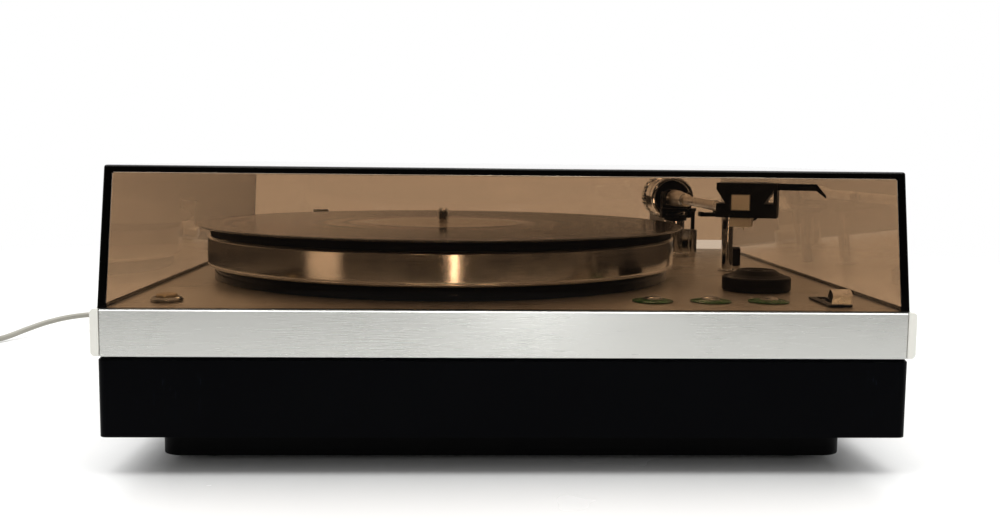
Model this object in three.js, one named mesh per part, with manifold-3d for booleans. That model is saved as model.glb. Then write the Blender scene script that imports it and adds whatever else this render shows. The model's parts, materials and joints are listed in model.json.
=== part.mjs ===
// A semi-automatic belt-drive turntable under a smoked dust cover, in millimetres, +Z up.
// The origin is on the table, under the middle of the body. The front faces -Y, the hinges +Y.
// Places in plan are given from the body's middle in x and from its front face in y.

import * as THREE from "three";
import { mergeVertices } from "three/addons/utils/BufferGeometryUtils.js";
import Module from "manifold-3d";

const wasm = await Module();
wasm.setup();

// Clearances that the whole object shares
const seat = 0.3; // between pieces that rest on or against each other
const running = 0.15; // round a shaft in its bearing
const slip = 0.4; // round buttons, levers and rods in their openings
const overrun = 2; // how far a cut reaches past the face it opens
const weld = 1e-4; // corners nearer than this are one corner

// How finely round forms are divided
const fineSides = 56;
const beltSides = 40;
const roundSides = 32;
const plainSides = 18;
const keySides = 16;
const smallSides = 14;
const tinySides = 10;

// The record, which sets the body's size with the margins round it
const recordRadius = 150.5;
const recordThickness = 1.3;
const recordBead = 1.6;
const recordGrooveDepth = 0.15;
const recordFromLeft = 14.6;
const recordFromFront = 21.6;
const recordFromBack = 52.4;
const armBay = 84.4;
const labelRadius = 50;

// Body: deck, plinth and tray
const deckThickness = 2.5;
const deckBevel = 0.9;
const apronHeight = 23;
const apronThickness = 2.5;
const rearLedge = 9;
const stripWidth = 4.2;
const stripGap = 0.5;
const stripRound = 1.4;
const plinthInset = 2.5;
const plinthSetback = 0.8;
const plinthHeight = 39.3;
const plinthGap = 0.4;
const plinthBevel = 1.6;
const plinthWall = 3;
const plinthCorner = 4;
const rearWallDrop = 4.5;
const trayInset = 25;
const trayHeight = 15.8;
const trayWall = 2.5;
const trayCorner = 10;
const trayLedge = 5;
const footHeight = 3.5;
const footRadius = 14;
const footTaper = 2;
const footInset = 24;
const footDish = 1;
const ventCount = 5;
const ventWidth = 4;
const ventLength = 40;
const ventPitch = 14;
const ventFromBack = 48;
const ventFromMiddle = 60;

// Dust cover and its hinges
const coverInset = 3.5;
const coverAir = 3.5;
const coverWall = 3.5;
const coverDraft = 3.9;
const coverCorner = 5;
const coverEdge = 2.5;
const coverHingeRise = 7;
const hingeFromBack = 10.5;
const hingeAboveDeck = 6;
const hingeFromSide = 62;
const hingePin = 1.6;
const knuckleRadius = 4;
const knuckleWidth = 12;
const cheekRadius = 4.6;
const cheekWidth = 4;
const cheekBack = 3.2;
const hingeBase = 1.2;
const hingeBaseDepth = 20;
const hingeLeafHeight = 24;
const hingeLeaf = 2.5;
const hingeLeafRoot = 8;

// Platter, bearing and drive. Heights are above the deck.
const pinRadius = 3.6;
const pinRise = 9.6;
const matInset = 2;
const matThickness = 4.5;
const matGroove = 1;
const matGrooveRadius = 60;
const platterLift = 7.7;
const platterInset = 5.5;
const platterRim = 5;
const platterRimHeight = 18;
const platterWeb = 3;
const platterBevel = 1;
const ringInset = 3.9;
const ringWidth = 7;
const ringRun = 0.7;
const ringRound = 3;
const subInset = 50;
const subRim = 3;
const subWeb = 3;
const subWebRise = 9;
const subRimRise = 5;
const hubRadius = 14;
const shaftRadius = 5;
const bearingRadius = 11;
const bearingRise = 3;
const bearingDepth = 52;
const bearingFloor = 4;
const bearingFlange = 22;
const bearingFlangeThickness = 4;
const ballRadius = 2.4;
const beltWidth = 5;
const beltThickness = 0.7;
const beltRise = 8;
const pulleyRadius = 7;
const pulleyFlange = 2;
const pulleyFlangeThickness = 1.2;
const pulleyGap = 16;
const pulleyBearing = 135;
const motorRadius = 20;
const motorHeight = 42;
const motorShaft = 1.5;
const motorShaftDepth = 18;
const motorRound = 2;

// Chassis plate under the deck
const chassisGap = 4.5;
const chassisThickness = 2;
const chassisFromFront = 72;
const chassisFromBack = 26;
const chassisFromSide = 20;
const chassisCorner = 12;
const standoffRadius = 4;
const standoffInset = 12;

// Tonearm. The pivot's height is above the deck, lengths along the arm are from the pivot.
const pivotFromRight = 60.5;
const pivotFromBack = 75;
const pivotAboveRecord = 11.8;
const stylusFromFront = 70;
const stylusAside = 8.6;
const stylusAboveRecord = 3.1;
const offsetAngle = 20;
const tubeRadius = 3.1;
const blockRadius = 6.2;
const blockHalf = 6;
const coneEnd = 37;
const coneTip = 4.6;
const coneLip = 3;
const pivotPin = 1.3;
const forkGap = 2;
const forkThickness = 2.8;
const forkDrop = 16.6;
const forkHalf = 5;
const forkBase = 4;
const forkBaseRadius = 8.5;
const columnRadius = 7;
const columnFlange = 10.5;
const columnFlangeHeight = 3;
const columnSleeve = 6;
const columnNut = 11;
const columnNutHeight = 5;
const armShaft = 3;
const armShaftDepth = 36;
const stubRadius = 3;
const stubFlange = 5;
const stubFlangeLength = 2;
const stubLength = 38;
const sleeveRadius = 6;
const sleeveStart = 14;
const sleeveLength = 30;
const weightRadius = 16.5;
const weightStart = 12;
const weightLength = 40;
const weightCup = 13.2;
const weightCupDepth = 11;
const weightRound = 1.2;
const knurlRadius = 17.5;
const knurlLength = 10;
const knurlTeeth = 32;
const knurlDepth = 0.7;

// Headshell, cartridge and stylus, about the stylus and seen along the shell
const shellWidth = 32;
const shellMiddle = 1.7;
const shellFront = 8;
const shellLength = 36;
const shellBottom = -1.6;
const shellTop = 17.1;
const shellPlate = 3.6;
const shellBand = 7.6;
const shellSide = 1.8;
const shellNeck = 5;
const shellSkin = 1.2;
const shellRearHalf = 7;
const shellTaper = 16;
const socketFrom = 17;
const socketRadius = 5;
const socketLength = 22;
const socketDepth = 14;
const cartridgeWidth = 12;
const cartridgeMiddle = -1.3;
const cartridgeLength = 19;
const cartridgeTop = 12.3;
const cartridgeFaceWidth = 9.6;
const cartridgeFaceBottom = 2.5;
const cartridgeFaceHeight = 8.2;
const holderWidth = 11.6;
const holderLength = 15;
const holderBottom = -6.6;
const holderHeelShare = 0.7;
const cantileverRadius = 0.45;
const cantileverLength = 6;
const cantileverShare = 0.33;
const fingerLength = 20;
const fingerHeight = 3.6;
const fingerThickness = 1.6;
const fingerTip = 5;
const fingerDrop = 4;

// Arm lift, arm rest, anti-skating and end-of-side switch
const liftRadius = 14.6;
const liftWidth = 3.4;
const liftThickness = 2.4;
const liftGap = 0.8;
const liftStart = -28;
const liftEnd = -142;
const liftRodAngle = -38;
const liftRod = 1.5;
const liftRodDepth = 20;
const liftGuide = 3.3;
const liftGuideHeight = 21;
const restAside = 13.3;
const restAhead = 108.3;
const restRadius = 3.6;
const restFlange = 6;
const restFlangeHeight = 1.2;
const restSpigotDepth = 4;
const restSpigot = 2.4;
const cradleCollar = 5.4;
const cradleCap = 1.4;
const cradleHeight = 6;
const cradleHalf = 4;
const cradleFloor = 2.5;
const cradleGap = 2.2;
const cradleWall = 2;
const cradleWallRise = 8;
const cradleLip = 0.5;
const cradleSide = 0.8;
const skateAside = 28;
const skateAhead = 74.5;
const skateWidth = 5.5;
const skateDepth = 5;
const skateHeight = 13.3;
const skateTravel = 12;
const skateStem = 2.6;
const skateShoe = 9;
const skateShoeThickness = 1.5;
const skateCap = 1.4;
const vaneLength = 28;
const vaneWidth = 8;
const vaneThickness = 1.2;
const vaneCollar = 5.5;
const vaneCollarHeight = 5;
const vaneBearing = 180;
const sensorBearing = 142;
const sensorDistance = 22;
const sensorWidth = 9;
const sensorLength = 12;
const sensorGap = 2;
const sensorJaw = 3;
const sensorHeel = 3;

// Controls on the deck
const keyLastFromRight = 63.4;
const keyPitch = 30.3;
const keyFromFront = 37;
const keyCount = 3;
const keyRadius = 5;
const keyRise = 3;
const keyDome = 1.2;
const keyShoulderShare = 0.35;
const keyStem = 2;
const keyTravel = 0.8;
const keyRingRadius = 10.6;
const keyRingHeight = 1.6;
const keyRingEdge = 0.7;
const keySleeve = 7.6;
const keySleeveDepth = 5;
const boardDepth = 17;
const boardThickness = 1.6;
const boardMargin = 13;
const boardFront = 10;
const boardLength = 52;
const switchSize = 8;
const switchHeight = 4;
const capacitorRadius = 6;
const capacitorHeight = 20;
const powerFromLeft = 29.3;
const powerFromFront = 29.3;
const powerRadius = 5.4;
const powerRise = 4;
const powerDome = 1.2;
const powerTravel = 2;
const bezelRadius = 8;
const bezelHeight = 2.4;
const bezelSleeve = 6.8;
const bezelSleeveDepth = 4;
const powerSwitchWidth = 20;
const powerSwitchDepth = 16;
const powerSwitchHeight = 12;
const powerSwitchEar = 2;
const powerStem = 2.4;
const powerStemDepth = 9;
const cueFromRight = 32.2;
const cueFromFront = 34;
const cueWidth = 12.5;
const cueLength = 34;
const cuePlate = 1.2;
const cuePlateCorner = 2;
const cueSlotWidth = 4.4;
const cueSlotLength = 29;
const cuePivotDepth = 20;
const cueCheek = 2;
const cueCheekHalf = 5;
const cuePin = 1.3;
const cueStalk = 3.2;
const cueTilt = 60;
const cueGrip = 10;
const cueGripLength = 7;
const cueGripHeight = 5.4;
const cueGripRise = 7;
const cueGripShares = [
  [1, 0],
  [0.8, 0.9],
  [0.4, 1],
];

// Adaptor for wide-hole records, lying on its peg
const adaptorFromRight = 56.3;
const adaptorFromFront = 86.8;
const adaptorRadius = 19.05;
const adaptorHeight = 7.9;
const adaptorHub = 9;
const adaptorHubRise = 3.7;
const adaptorBore = 3.8;
const pegRadius = 3.3;
const pegHeight = 5;

// Transformer, standing in the tray
const transformerFromLeft = 66;
const transformerFromBack = 75;
const coreWidth = 54;
const coreDepth = 22;
const coreHeight = 45;
const coilWidth = 30;
const coilCornerShare = 0.2;
const coilDepth = 42;
const coilHeight = 28;
const coreFoot = 66;
const coreFootHeight = 3;

// Mains lead, put away in a coil, and its plug. The route's points are chosen by hand: how far
// aside and behind the strain relief's end they lie, and their share of its height.
const leadDiameter = 4.6;
const leadFromLeft = 65;
const leadHeight = 30;
const reliefLength = 30;
const reliefBase = 4.8;
const reliefTip = 3.2;
const reliefFlange = 7;
const reliefFlangeThickness = 2;
const reliefRibs = 2;
const reliefGroove = 0.6;
const reliefRibShare = 0.6;
const reliefFlankShare = 0.7;
const leadSides = 8;
const leadSteps = 42;
const leadRoute = [
  [0, 0, 1],
  [-0.4, 8.9, 0.986],
  [-5, 19.9, 0.942],
  [-17, 28.9, 0.877],
  [-37, 32.9, 0.798],
  [-65, 32.4, 0.711],
  [-100, 29.4, 0.632],
  [-135, 25.9, 0.574],
  [-170, 22.9, 0.531],
  [-200, 20.5, 0.495],
  [-223, 15.9, 0.444],
  [-241, 6.4, 0.329],
  [-254, -8.1, 0.184],
  [-263, -25.1, 0.061],
  [-269.5, -42.1, 0.018],
  [-274, -58.1, 0.007],
  [-276.6, -68.1, 0.004],
];
const coilLoops = 6;
const coilLayers = 2;
const coilRadius = 29;
const coilGap = 0.6;
const coilLoopSteps = 24;
const coilSides = 6;
const coilExit = 36;
const coilExitShares = [0.35, 0.7, 0.9, 1];
const plugLength = 34;
const plugWidth = 26;
const plugThickness = 12;
const plugNeck = 10;
const plugNeckWidth = 7;
const plugCorner = 4;
const plugPin = 2;
const plugPinLength = 19;
const plugPinPitch = 19;

// Socket for the signal lead's gland in the back wall
const glandFromLead = 40;
const glandRadius = 7;
const glandRecess = 1.5;
const glandBore = 2.6;

// Sizes and places worked out from those above
const bodyWidth = recordFromLeft + 2 * recordRadius + armBay;
const bodyDepth = recordFromFront + 2 * recordRadius + recordFromBack;
const deckHeight = footHeight + trayHeight + plinthHeight + plinthGap + apronHeight;
const platterRadius = recordRadius - platterInset;
const matRadius = platterRadius - matInset;
const ringRadius = platterRadius - ringInset;
const subRadius = platterRadius - subInset;
const pulleyDistance = subRadius + pulleyGap + pulleyRadius;
const platterBottom = platterLift;
const platterTop = platterBottom + platterRimHeight;
const recordBottom = platterTop + seat + matThickness + seat;
const recordTop = recordBottom + recordThickness;
const pivotHeight = recordTop + pivotAboveRecord;
const armReach = bodyDepth - pivotFromBack - stylusFromFront;
const restHeight = pivotHeight - tubeRadius - cradleGap - cradleFloor + cradleCap;
const coverHeight = pivotHeight + shellTop + coverAir + coverWall;
const frontY = -bodyDepth / 2;
const backY = bodyDepth / 2;
const deckTop = deckHeight;
const deckUnder = deckTop - deckThickness;
const deckHalf = bodyWidth / 2 - stripWidth - stripGap;
const deckBack = backY - rearLedge;
const plinthTop = deckTop - apronHeight - plinthGap;
const plinthBottom = footHeight + trayHeight;
const plinthHalf = bodyWidth / 2 - plinthInset;
const frameHalf = deckHalf + stripGap - seat;
const frameFront = frontY + apronThickness + seat;
const frameTop = deckUnder - seat;
const trayFloorTop = footHeight + trayWall;
const chassisTop = deckUnder - chassisGap;
const chassisBottom = chassisTop - chassisThickness;
const rightX = bodyWidth / 2;
const leftX = -bodyWidth / 2;
const spindleX = leftX + recordFromLeft + recordRadius;
const spindleY = frontY + recordFromFront + recordRadius;
const pivotX = rightX - pivotFromRight;
const pivotY = backY - pivotFromBack;
const pivotZ = deckTop + pivotHeight;
const restX = pivotX + restAside;
const restY = pivotY - restAhead;
const skateX = pivotX + skateAside;
const skateY = pivotY - skateAhead;
const keyFirstX = rightX - keyLastFromRight - (keyCount - 1) * keyPitch;
const powerX = leftX + powerFromLeft;
const cueX = rightX - cueFromRight;
const adaptorX = rightX - adaptorFromRight;
const transformerX = leftX + transformerFromLeft;
const transformerY = backY - transformerFromBack;
const leadX = leftX + leadFromLeft;
const glandX = leadX + glandFromLead;
const hingeY = backY - hingeFromBack;
const hingeZ = deckTop + hingeAboveDeck;
const hingeX = bodyWidth / 2 - hingeFromSide;
const stylusDrop = recordTop + stylusAboveRecord - pivotHeight;

const radians = THREE.MathUtils.degToRad;

// Closed solids from three.js geometry

function solid(geometry) {
  const bare = geometry.index ? geometry.toNonIndexed() : geometry.clone();
  for (const name of Object.keys(bare.attributes)) {
    if (name !== "position") bare.deleteAttribute(name);
  }
  const merged = mergeVertices(bare, weld);
  const index = merged.index.array;
  const corners = [];
  for (let i = 0; i < index.length; i += 3) {
    const [a, b, c] = [index[i], index[i + 1], index[i + 2]];
    if (a !== b && b !== c && c !== a) corners.push(a, b, c);
  }
  return new wasm.Manifold(
    new wasm.Mesh({
      numProp: 3,
      vertProperties: merged.attributes.position.array,
      triVerts: new Uint32Array(corners),
    }),
  );
}

function geometryOf(made) {
  const mesh = made.getMesh();
  const geometry = new THREE.BufferGeometry();
  geometry.setAttribute("position", new THREE.BufferAttribute(mesh.vertProperties, 3));
  geometry.setIndex(new THREE.BufferAttribute(mesh.triVerts, 1));
  const faceted = geometry.toNonIndexed();
  faceted.computeVertexNormals();
  return faceted;
}

// A block between two corners
function block([x0, x1], [y0, y1], [z0, z1]) {
  const geometry = new THREE.BoxGeometry(x1 - x0, y1 - y0, z1 - z0);
  return solid(geometry.translate((x0 + x1) / 2, (y0 + y1) / 2, (z0 + z1) / 2));
}

// A round bar along z, x or y
function bar(axis, x, y, z, radius, length, sides = plainSides) {
  const geometry = new THREE.CylinderGeometry(radius, radius, length, sides);
  if (axis === "z") geometry.rotateX(Math.PI / 2);
  if (axis === "x") geometry.rotateZ(Math.PI / 2);
  return solid(geometry.translate(x, y, z));
}

function post(x, y, [z0, z1], radius, sides = plainSides) {
  return bar("z", x, y, (z0 + z1) / 2, radius, z1 - z0, sides);
}

// A form turned about z from [radius, height] points, from its bottom to its top
function turned(profile, sides = roundSides) {
  const points = profile.map(([radius, height]) => new THREE.Vector2(radius, height));
  return solid(new THREE.LatheGeometry(points, sides).rotateX(Math.PI / 2));
}

// A turned ring, whose profile closes on itself
function turnedRing(profile, sides = roundSides) {
  return turned([...profile, profile[0]], sides);
}

// A form turned about y from [radius, place along y] points
function turnedAlong(profile, sides = plainSides) {
  const points = profile.map(([radius, along]) => new THREE.Vector2(radius, along));
  return solid(new THREE.LatheGeometry(points, sides));
}

function outlineShape(points) {
  return new THREE.Shape(points.map(([x, y]) => new THREE.Vector2(x, y)));
}

function arcPoints(x, y, radius, from, to, steps) {
  const points = [];
  for (let step = 0; step <= steps; step++) {
    const angle = from + ((to - from) * step) / steps;
    points.push([x + radius * Math.cos(angle), y + radius * Math.sin(angle)]);
  }
  return points;
}

function roundedShape(halfX, halfY, corner) {
  const shape = new THREE.Shape();
  shape.absarc(halfX - corner, halfY - corner, corner, 0, Math.PI / 2);
  shape.absarc(corner - halfX, halfY - corner, corner, Math.PI / 2, Math.PI);
  shape.absarc(corner - halfX, corner - halfY, corner, Math.PI, Math.PI * 1.5);
  shape.absarc(halfX - corner, corner - halfY, corner, Math.PI * 1.5, Math.PI * 2);
  shape.closePath();
  return shape;
}

// A plan shape raised between two heights
function raised(shape, [z0, z1], segments = 4) {
  const options = { depth: z1 - z0, bevelEnabled: false, curveSegments: segments };
  return solid(new THREE.ExtrudeGeometry(shape, options).translate(0, 0, z0));
}

// A side outline of [y, z] points carried across in x
function across(points, [x0, x1]) {
  const shape = outlineShape(points);
  const geometry = new THREE.ExtrudeGeometry(shape, { depth: x1 - x0, bevelEnabled: false });
  // x becomes y, y becomes z and the depth runs along x
  const turn = new THREE.Matrix4().set(0, 0, 1, x0, 1, 0, 0, 0, 0, 1, 0, 0, 0, 0, 0, 1);
  return solid(geometry.applyMatrix4(turn));
}

// A front outline of [x, z] points carried back in y
function carriedBack(points, [y0, y1]) {
  const shape = outlineShape(points);
  const geometry = new THREE.ExtrudeGeometry(shape, { depth: y1 - y0, bevelEnabled: false });
  return solid(geometry.rotateX(Math.PI / 2).translate(0, y1, 0));
}

// A form lofted through level rounded rectangles, each { z, halfX, halfY, corner, y }
function lofted(rings, cornerSteps = 5) {
  const outlines = rings.map(({ z, halfX, halfY, corner, y = 0 }) => {
    const points = [];
    for (let quarter = 0; quarter < 4; quarter++) {
      const signX = quarter === 0 || quarter === 3 ? 1 : -1;
      const signY = quarter < 2 ? 1 : -1;
      for (let step = 0; step <= cornerSteps; step++) {
        const angle = (Math.PI / 2) * (quarter + step / cornerSteps);
        points.push([
          signX * (halfX - corner) + corner * Math.cos(angle),
          y + signY * (halfY - corner) + corner * Math.sin(angle),
          z,
        ]);
      }
    }
    return points;
  });
  const count = outlines[0].length;
  const positions = outlines.flat(2);
  const middle = ({ z, y = 0 }) => [0, y, z];
  positions.push(...middle(rings[0]), ...middle(rings[rings.length - 1]));
  const index = [];
  for (let ring = 0; ring < rings.length - 1; ring++) {
    for (let i = 0; i < count; i++) {
      const [a, b] = [ring * count + i, ring * count + ((i + 1) % count)];
      index.push(a, b, b + count, a, b + count, a + count);
    }
  }
  const [low, high] = [rings.length * count, rings.length * count + 1];
  for (let i = 0; i < count; i++) {
    const next = (i + 1) % count;
    const top = (rings.length - 1) * count;
    index.push(low, next, i, high, top + i, top + next);
  }
  const geometry = new THREE.BufferGeometry();
  geometry.setAttribute("position", new THREE.Float32BufferAttribute(positions, 3));
  geometry.setIndex(index);
  return solid(geometry);
}

// A solid turned about z and moved in plan
function placed(made, x, y, angle = 0) {
  return made.rotate([0, 0, angle]).translate([x, y, 0]);
}

function joined(first, ...others) {
  return others.reduce((sum, next) => sum.add(next), first);
}

function cut(first, ...others) {
  return others.reduce((rest, next) => rest.subtract(next), first);
}

// Finishes
const finishes = {
  blackPlastic: { color: 0x0b0b0d, roughness: 0.55, metalness: 0 },
  glossBlack: { color: 0x060606, roughness: 0.15, metalness: 0 },
  silver: { color: 0xb9b9b4, roughness: 0.45, metalness: 0.6 },
  paleTrim: { color: 0xdcdcd8, roughness: 0.5, metalness: 0 },
  smoke: { color: 0x5a4630, roughness: 0.05, metalness: 0, transparent: true, opacity: 0.4 },
  rubber: { color: 0x101010, roughness: 0.9, metalness: 0 },
  polished: { color: 0xc8c4bc, roughness: 0.2, metalness: 1 },
  chrome: { color: 0xd8d6d0, roughness: 0.1, metalness: 1 },
  steel: { color: 0x8c8f92, roughness: 0.5, metalness: 0.9 },
  brass: { color: 0xb08d45, roughness: 0.35, metalness: 1 },
  vinyl: { color: 0x0a0a0a, roughness: 0.12, metalness: 0 },
  board: { color: 0x2e5a34, roughness: 0.6, metalness: 0 },
  winding: { color: 0x7a3f1e, roughness: 0.5, metalness: 0.3 },
  lens: { color: 0x2c7a34, roughness: 0.2, metalness: 0 },
  cream: { color: 0xd8d4c4, roughness: 0.5, metalness: 0 },
  greyLead: { color: 0xa8a49a, roughness: 0.6, metalness: 0 },
};

function piece(name, finish, made) {
  const material = new THREE.MeshStandardMaterial(finishes[finish]);
  material.name = finish;
  const mesh = new THREE.Mesh(geometryOf(made), material);
  mesh.name = name;
  return mesh;
}

// Body

function plinthShell() {
  const halfY = (backY - frontY - plinthSetback) / 2;
  const y = plinthSetback / 2;
  const outer = { halfX: plinthHalf, halfY, corner: plinthCorner, y };
  const lower = lofted([
    { z: plinthBottom, ...outer },
    { z: plinthTop - plinthBevel, ...outer },
    {
      z: plinthTop,
      halfX: plinthHalf - plinthBevel,
      halfY: halfY - plinthBevel,
      corner: plinthCorner - plinthBevel,
      y,
    },
  ]);
  const frame = block([-frameHalf, frameHalf], [frameFront, backY], [plinthBottom, frameTop]);
  const innerHalf = frameHalf - plinthWall;
  const inside = block(
    [-innerHalf, innerHalf],
    [frameFront + plinthWall, backY - plinthWall],
    [plinthBottom + plinthWall, frameTop + overrun],
  );
  const mouthHalf = bodyWidth / 2 - trayInset - trayLedge;
  const mouthHalfY = bodyDepth / 2 - trayInset - trayLedge;
  const mouth = raised(
    roundedShape(mouthHalf, mouthHalfY, trayCorner),
    [plinthBottom - overrun, plinthBottom + plinthWall + overrun],
  );
  const rearDrop = block(
    [-plinthHalf, plinthHalf],
    [deckBack, backY + overrun],
    [frameTop - rearWallDrop, frameTop + overrun],
  );
  const leadHole = bar("y", leadX, backY, leadHeight, reliefBase + seat, 4 * plinthWall, smallSides);
  const glandSeat = bar("y", glandX, backY, leadHeight, glandRadius + seat, 2 * glandRecess);
  const glandHole = bar("y", glandX, backY, leadHeight, glandBore + overrun, 4 * plinthWall);
  return cut(joined(lower, frame), inside, mouth, rearDrop, leadHole, glandSeat, glandHole);
}

function bottomTray() {
  const halfX = bodyWidth / 2 - trayInset;
  const halfY = bodyDepth / 2 - trayInset;
  const top = plinthBottom - seat;
  const outer = raised(roundedShape(halfX, halfY, trayCorner), [footHeight, top]);
  const inner = raised(
    roundedShape(halfX - trayWall, halfY - trayWall, trayCorner - trayWall),
    [trayFloorTop, top + overrun],
  );
  let tray = cut(outer, inner);
  for (const side of [-1, 1]) {
    for (let slot = 0; slot < ventCount; slot++) {
      const x = side * ventFromMiddle + (slot - (ventCount - 1) / 2) * ventPitch;
      tray = cut(
        tray,
        block(
          [x - ventWidth / 2, x + ventWidth / 2],
          [backY - ventFromBack - ventLength, backY - ventFromBack],
          [footHeight - overrun, trayFloorTop + overrun],
        ),
      );
    }
  }
  return tray;
}

function foot() {
  const height = footHeight - seat;
  return turned(
    [
      [0, footDish],
      [footRadius / 2, footDish],
      [footRadius / 2 + footDish, 0],
      [footRadius - footTaper, 0],
      [footRadius, height],
      [0, height],
    ],
    smallSides,
  );
}

function deckPanel() {
  const bottom = deckTop - apronHeight;
  const panel = across(
    [
      [frontY, bottom],
      [frontY + apronThickness, bottom],
      [frontY + apronThickness, deckUnder],
      [deckBack, deckUnder],
      [deckBack, deckTop],
      [frontY + deckBevel, deckTop],
      [frontY, deckTop - deckBevel],
    ],
    [-deckHalf, deckHalf],
  );
  const through = [deckUnder - overrun, deckTop + overrun];
  const hole = (x, y, radius, sides) => post(x, y, through, radius, sides);
  const slot = (x, y, halfX, halfY) => block([x - halfX, x + halfX], [y - halfY, y + halfY], through);
  const [motorX, motorY] = motorPlace();
  const [rodX, rodY] = liftRodPlace();
  const holes = [
    hole(spindleX, spindleY, bearingRadius + slip, plainSides),
    hole(motorX, motorY, pulleyRadius + pulleyFlange + slip, plainSides),
    hole(pivotX, pivotY, columnSleeve + slip, plainSides),
    hole(pivotX + rodX, pivotY + rodY, liftRod + slip, tinySides),
    hole(restX, restY, restSpigot + seat, tinySides),
    hole(powerX, frontY + powerFromFront, bezelSleeve + seat, plainSides),
    slot(
      skateX,
      skateY + skateTravel / 2,
      skateStem / 2 + slip,
      skateTravel / 2 + skateStem / 2 + slip,
    ),
    slot(cueX, frontY + cueFromFront, cueWidth / 2 - cueCheek + seat, cueSlotLength / 2 + seat),
  ];
  for (let key = 0; key < keyCount; key++) {
    holes.push(hole(keyFirstX + key * keyPitch, frontY + keyFromFront, keySleeve + seat, plainSides));
  }
  const peg = post(
    adaptorX,
    frontY + adaptorFromFront,
    [deckUnder, deckTop + pegHeight],
    pegRadius,
    smallSides,
  );
  return joined(cut(panel, ...holes), peg);
}

function sideStrip(side) {
  const [inner, outer] = [bodyWidth / 2 - stripWidth, bodyWidth / 2];
  const bottom = deckTop - apronHeight;
  const outline = [
    [inner, bottom],
    [outer - stripRound, bottom],
    [outer, bottom + stripRound],
    [outer, deckTop - stripRound],
    [outer - stripRound, deckTop],
    [inner, deckTop],
  ];
  const strip = carriedBack(outline, [frontY, deckBack]);
  return side > 0 ? strip : strip.mirror([1, 0, 0]);
}

function chassisPlate() {
  const halfX = bodyWidth / 2 - chassisFromSide;
  const [front, back] = [frontY + chassisFromFront, backY - chassisFromBack];
  const y = (front + back) / 2;
  const halfY = (back - front) / 2;
  const span = [chassisBottom, chassisTop];
  let plate = placed(raised(roundedShape(halfX, halfY, chassisCorner), span), 0, y);
  for (const signX of [-1, 1]) {
    for (const signY of [-1, 1]) {
      const [x, standY] = [signX * (halfX - standoffInset), y + signY * (halfY - standoffInset)];
      plate = joined(
        plate,
        post(x, standY, [chassisBottom, deckUnder - seat], standoffRadius, tinySides),
      );
    }
  }
  const through = [chassisBottom - overrun, chassisTop + overrun];
  const [motorX, motorY] = motorPlace();
  const [rodX, rodY] = liftRodPlace();
  return cut(
    plate,
    post(spindleX, spindleY, through, bearingRadius + slip),
    post(motorX, motorY, through, pulleyRadius, smallSides),
    post(pivotX, pivotY, through, columnSleeve + slip),
    post(pivotX + rodX, pivotY + rodY, through, liftRod + slip, tinySides),
    post(restX, restY, through, restSpigot + slip, tinySides),
  );
}

// Dust cover and hinges

function coverInnerBack(z) {
  const leaning = (coverDraft * (z - deckTop - seat)) / coverHeight;
  return backY - seat - leaning - coverWall;
}

function dustCover() {
  const bottom = deckTop + seat;
  const top = bottom + coverHeight;
  const halfX = bodyWidth / 2 - coverInset;
  const halfY = bodyDepth / 2 - seat;
  const ring = (z, inset, corner) => {
    const lean = (coverDraft * (z - bottom)) / coverHeight;
    return { z, halfX: halfX - lean - inset, halfY: halfY - lean - inset, corner };
  };
  const edgeSteps = 4;
  const rounded = [];
  for (let step = 0; step <= edgeSteps; step++) {
    const angle = (Math.PI / 2) * (step / edgeSteps);
    const inset = coverEdge * (1 - Math.cos(angle));
    rounded.push(ring(top - coverEdge * (1 - Math.sin(angle)), inset, coverCorner - inset));
  }
  const outer = lofted([ring(bottom, 0, coverCorner), ...rounded]);
  const innerCorner = coverCorner - coverWall;
  const inner = lofted([
    ring(bottom - overrun, coverWall, innerCorner),
    ring(top - coverWall, coverWall, innerCorner),
  ]);
  const hingeCut = block(
    [-bodyWidth, bodyWidth],
    [hingeY - coverWall, backY + overrun],
    [bottom - overrun, hingeZ + coverHingeRise - hingeAboveDeck],
  );
  return cut(outer, inner, hingeCut);
}

function hingeBracket(x) {
  const gap = knuckleWidth / 2 + slip;
  const base = block(
    [x - gap - cheekWidth, x + gap + cheekWidth],
    [deckBack - hingeBaseDepth, deckBack],
    [deckTop + seat, deckTop + seat + hingeBase],
  );
  const cheek = (x0) => {
    const side = joined(
      bar("x", x0 + cheekWidth / 2, hingeY, hingeZ, cheekRadius, cheekWidth, smallSides),
      across(
        [
          [hingeY - cheekRadius, deckTop + seat],
          [deckBack, deckTop + seat],
          [deckBack, deckTop + seat + hingeBase],
          [hingeY + cheekBack, hingeZ - cheekBack],
          [hingeY, hingeZ],
          [hingeY - cheekRadius, hingeZ],
        ],
        [x0, x0 + cheekWidth],
      ),
    );
    return side;
  };
  const pin = bar("x", x, hingeY, hingeZ, hingePin, 2 * (gap + cheekWidth), tinySides);
  return joined(base, cheek(x + gap), cheek(x - gap - cheekWidth), pin);
}

function coverEar(x) {
  const half = knuckleWidth / 2;
  const knuckle = bar("x", x, hingeY, hingeZ, knuckleRadius, knuckleWidth, smallSides);
  const leafTop = hingeZ + hingeLeafHeight;
  const leafLow = hingeZ + hingeLeafRoot;
  const back = (z) => coverInnerBack(z) - seat;
  const leaf = across(
    [
      [hingeY, hingeZ - knuckleRadius / 2],
      [back(hingeZ + knuckleRadius / 2) - seat, hingeZ + knuckleRadius / 2],
      [back(leafTop), leafTop],
      [back(leafTop) - hingeLeaf, leafTop],
      [back(leafLow) - hingeLeaf, leafLow],
      [hingeY - knuckleRadius / 2, hingeZ + knuckleRadius / 2],
    ],
    [x - half, x + half],
  );
  const bore = bar("x", x, hingeY, hingeZ, hingePin + seat, knuckleWidth + overrun, tinySides);
  return cut(joined(knuckle, leaf), bore);
}

// Platter, bearing and drive, about the spindle and above the deck

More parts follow.
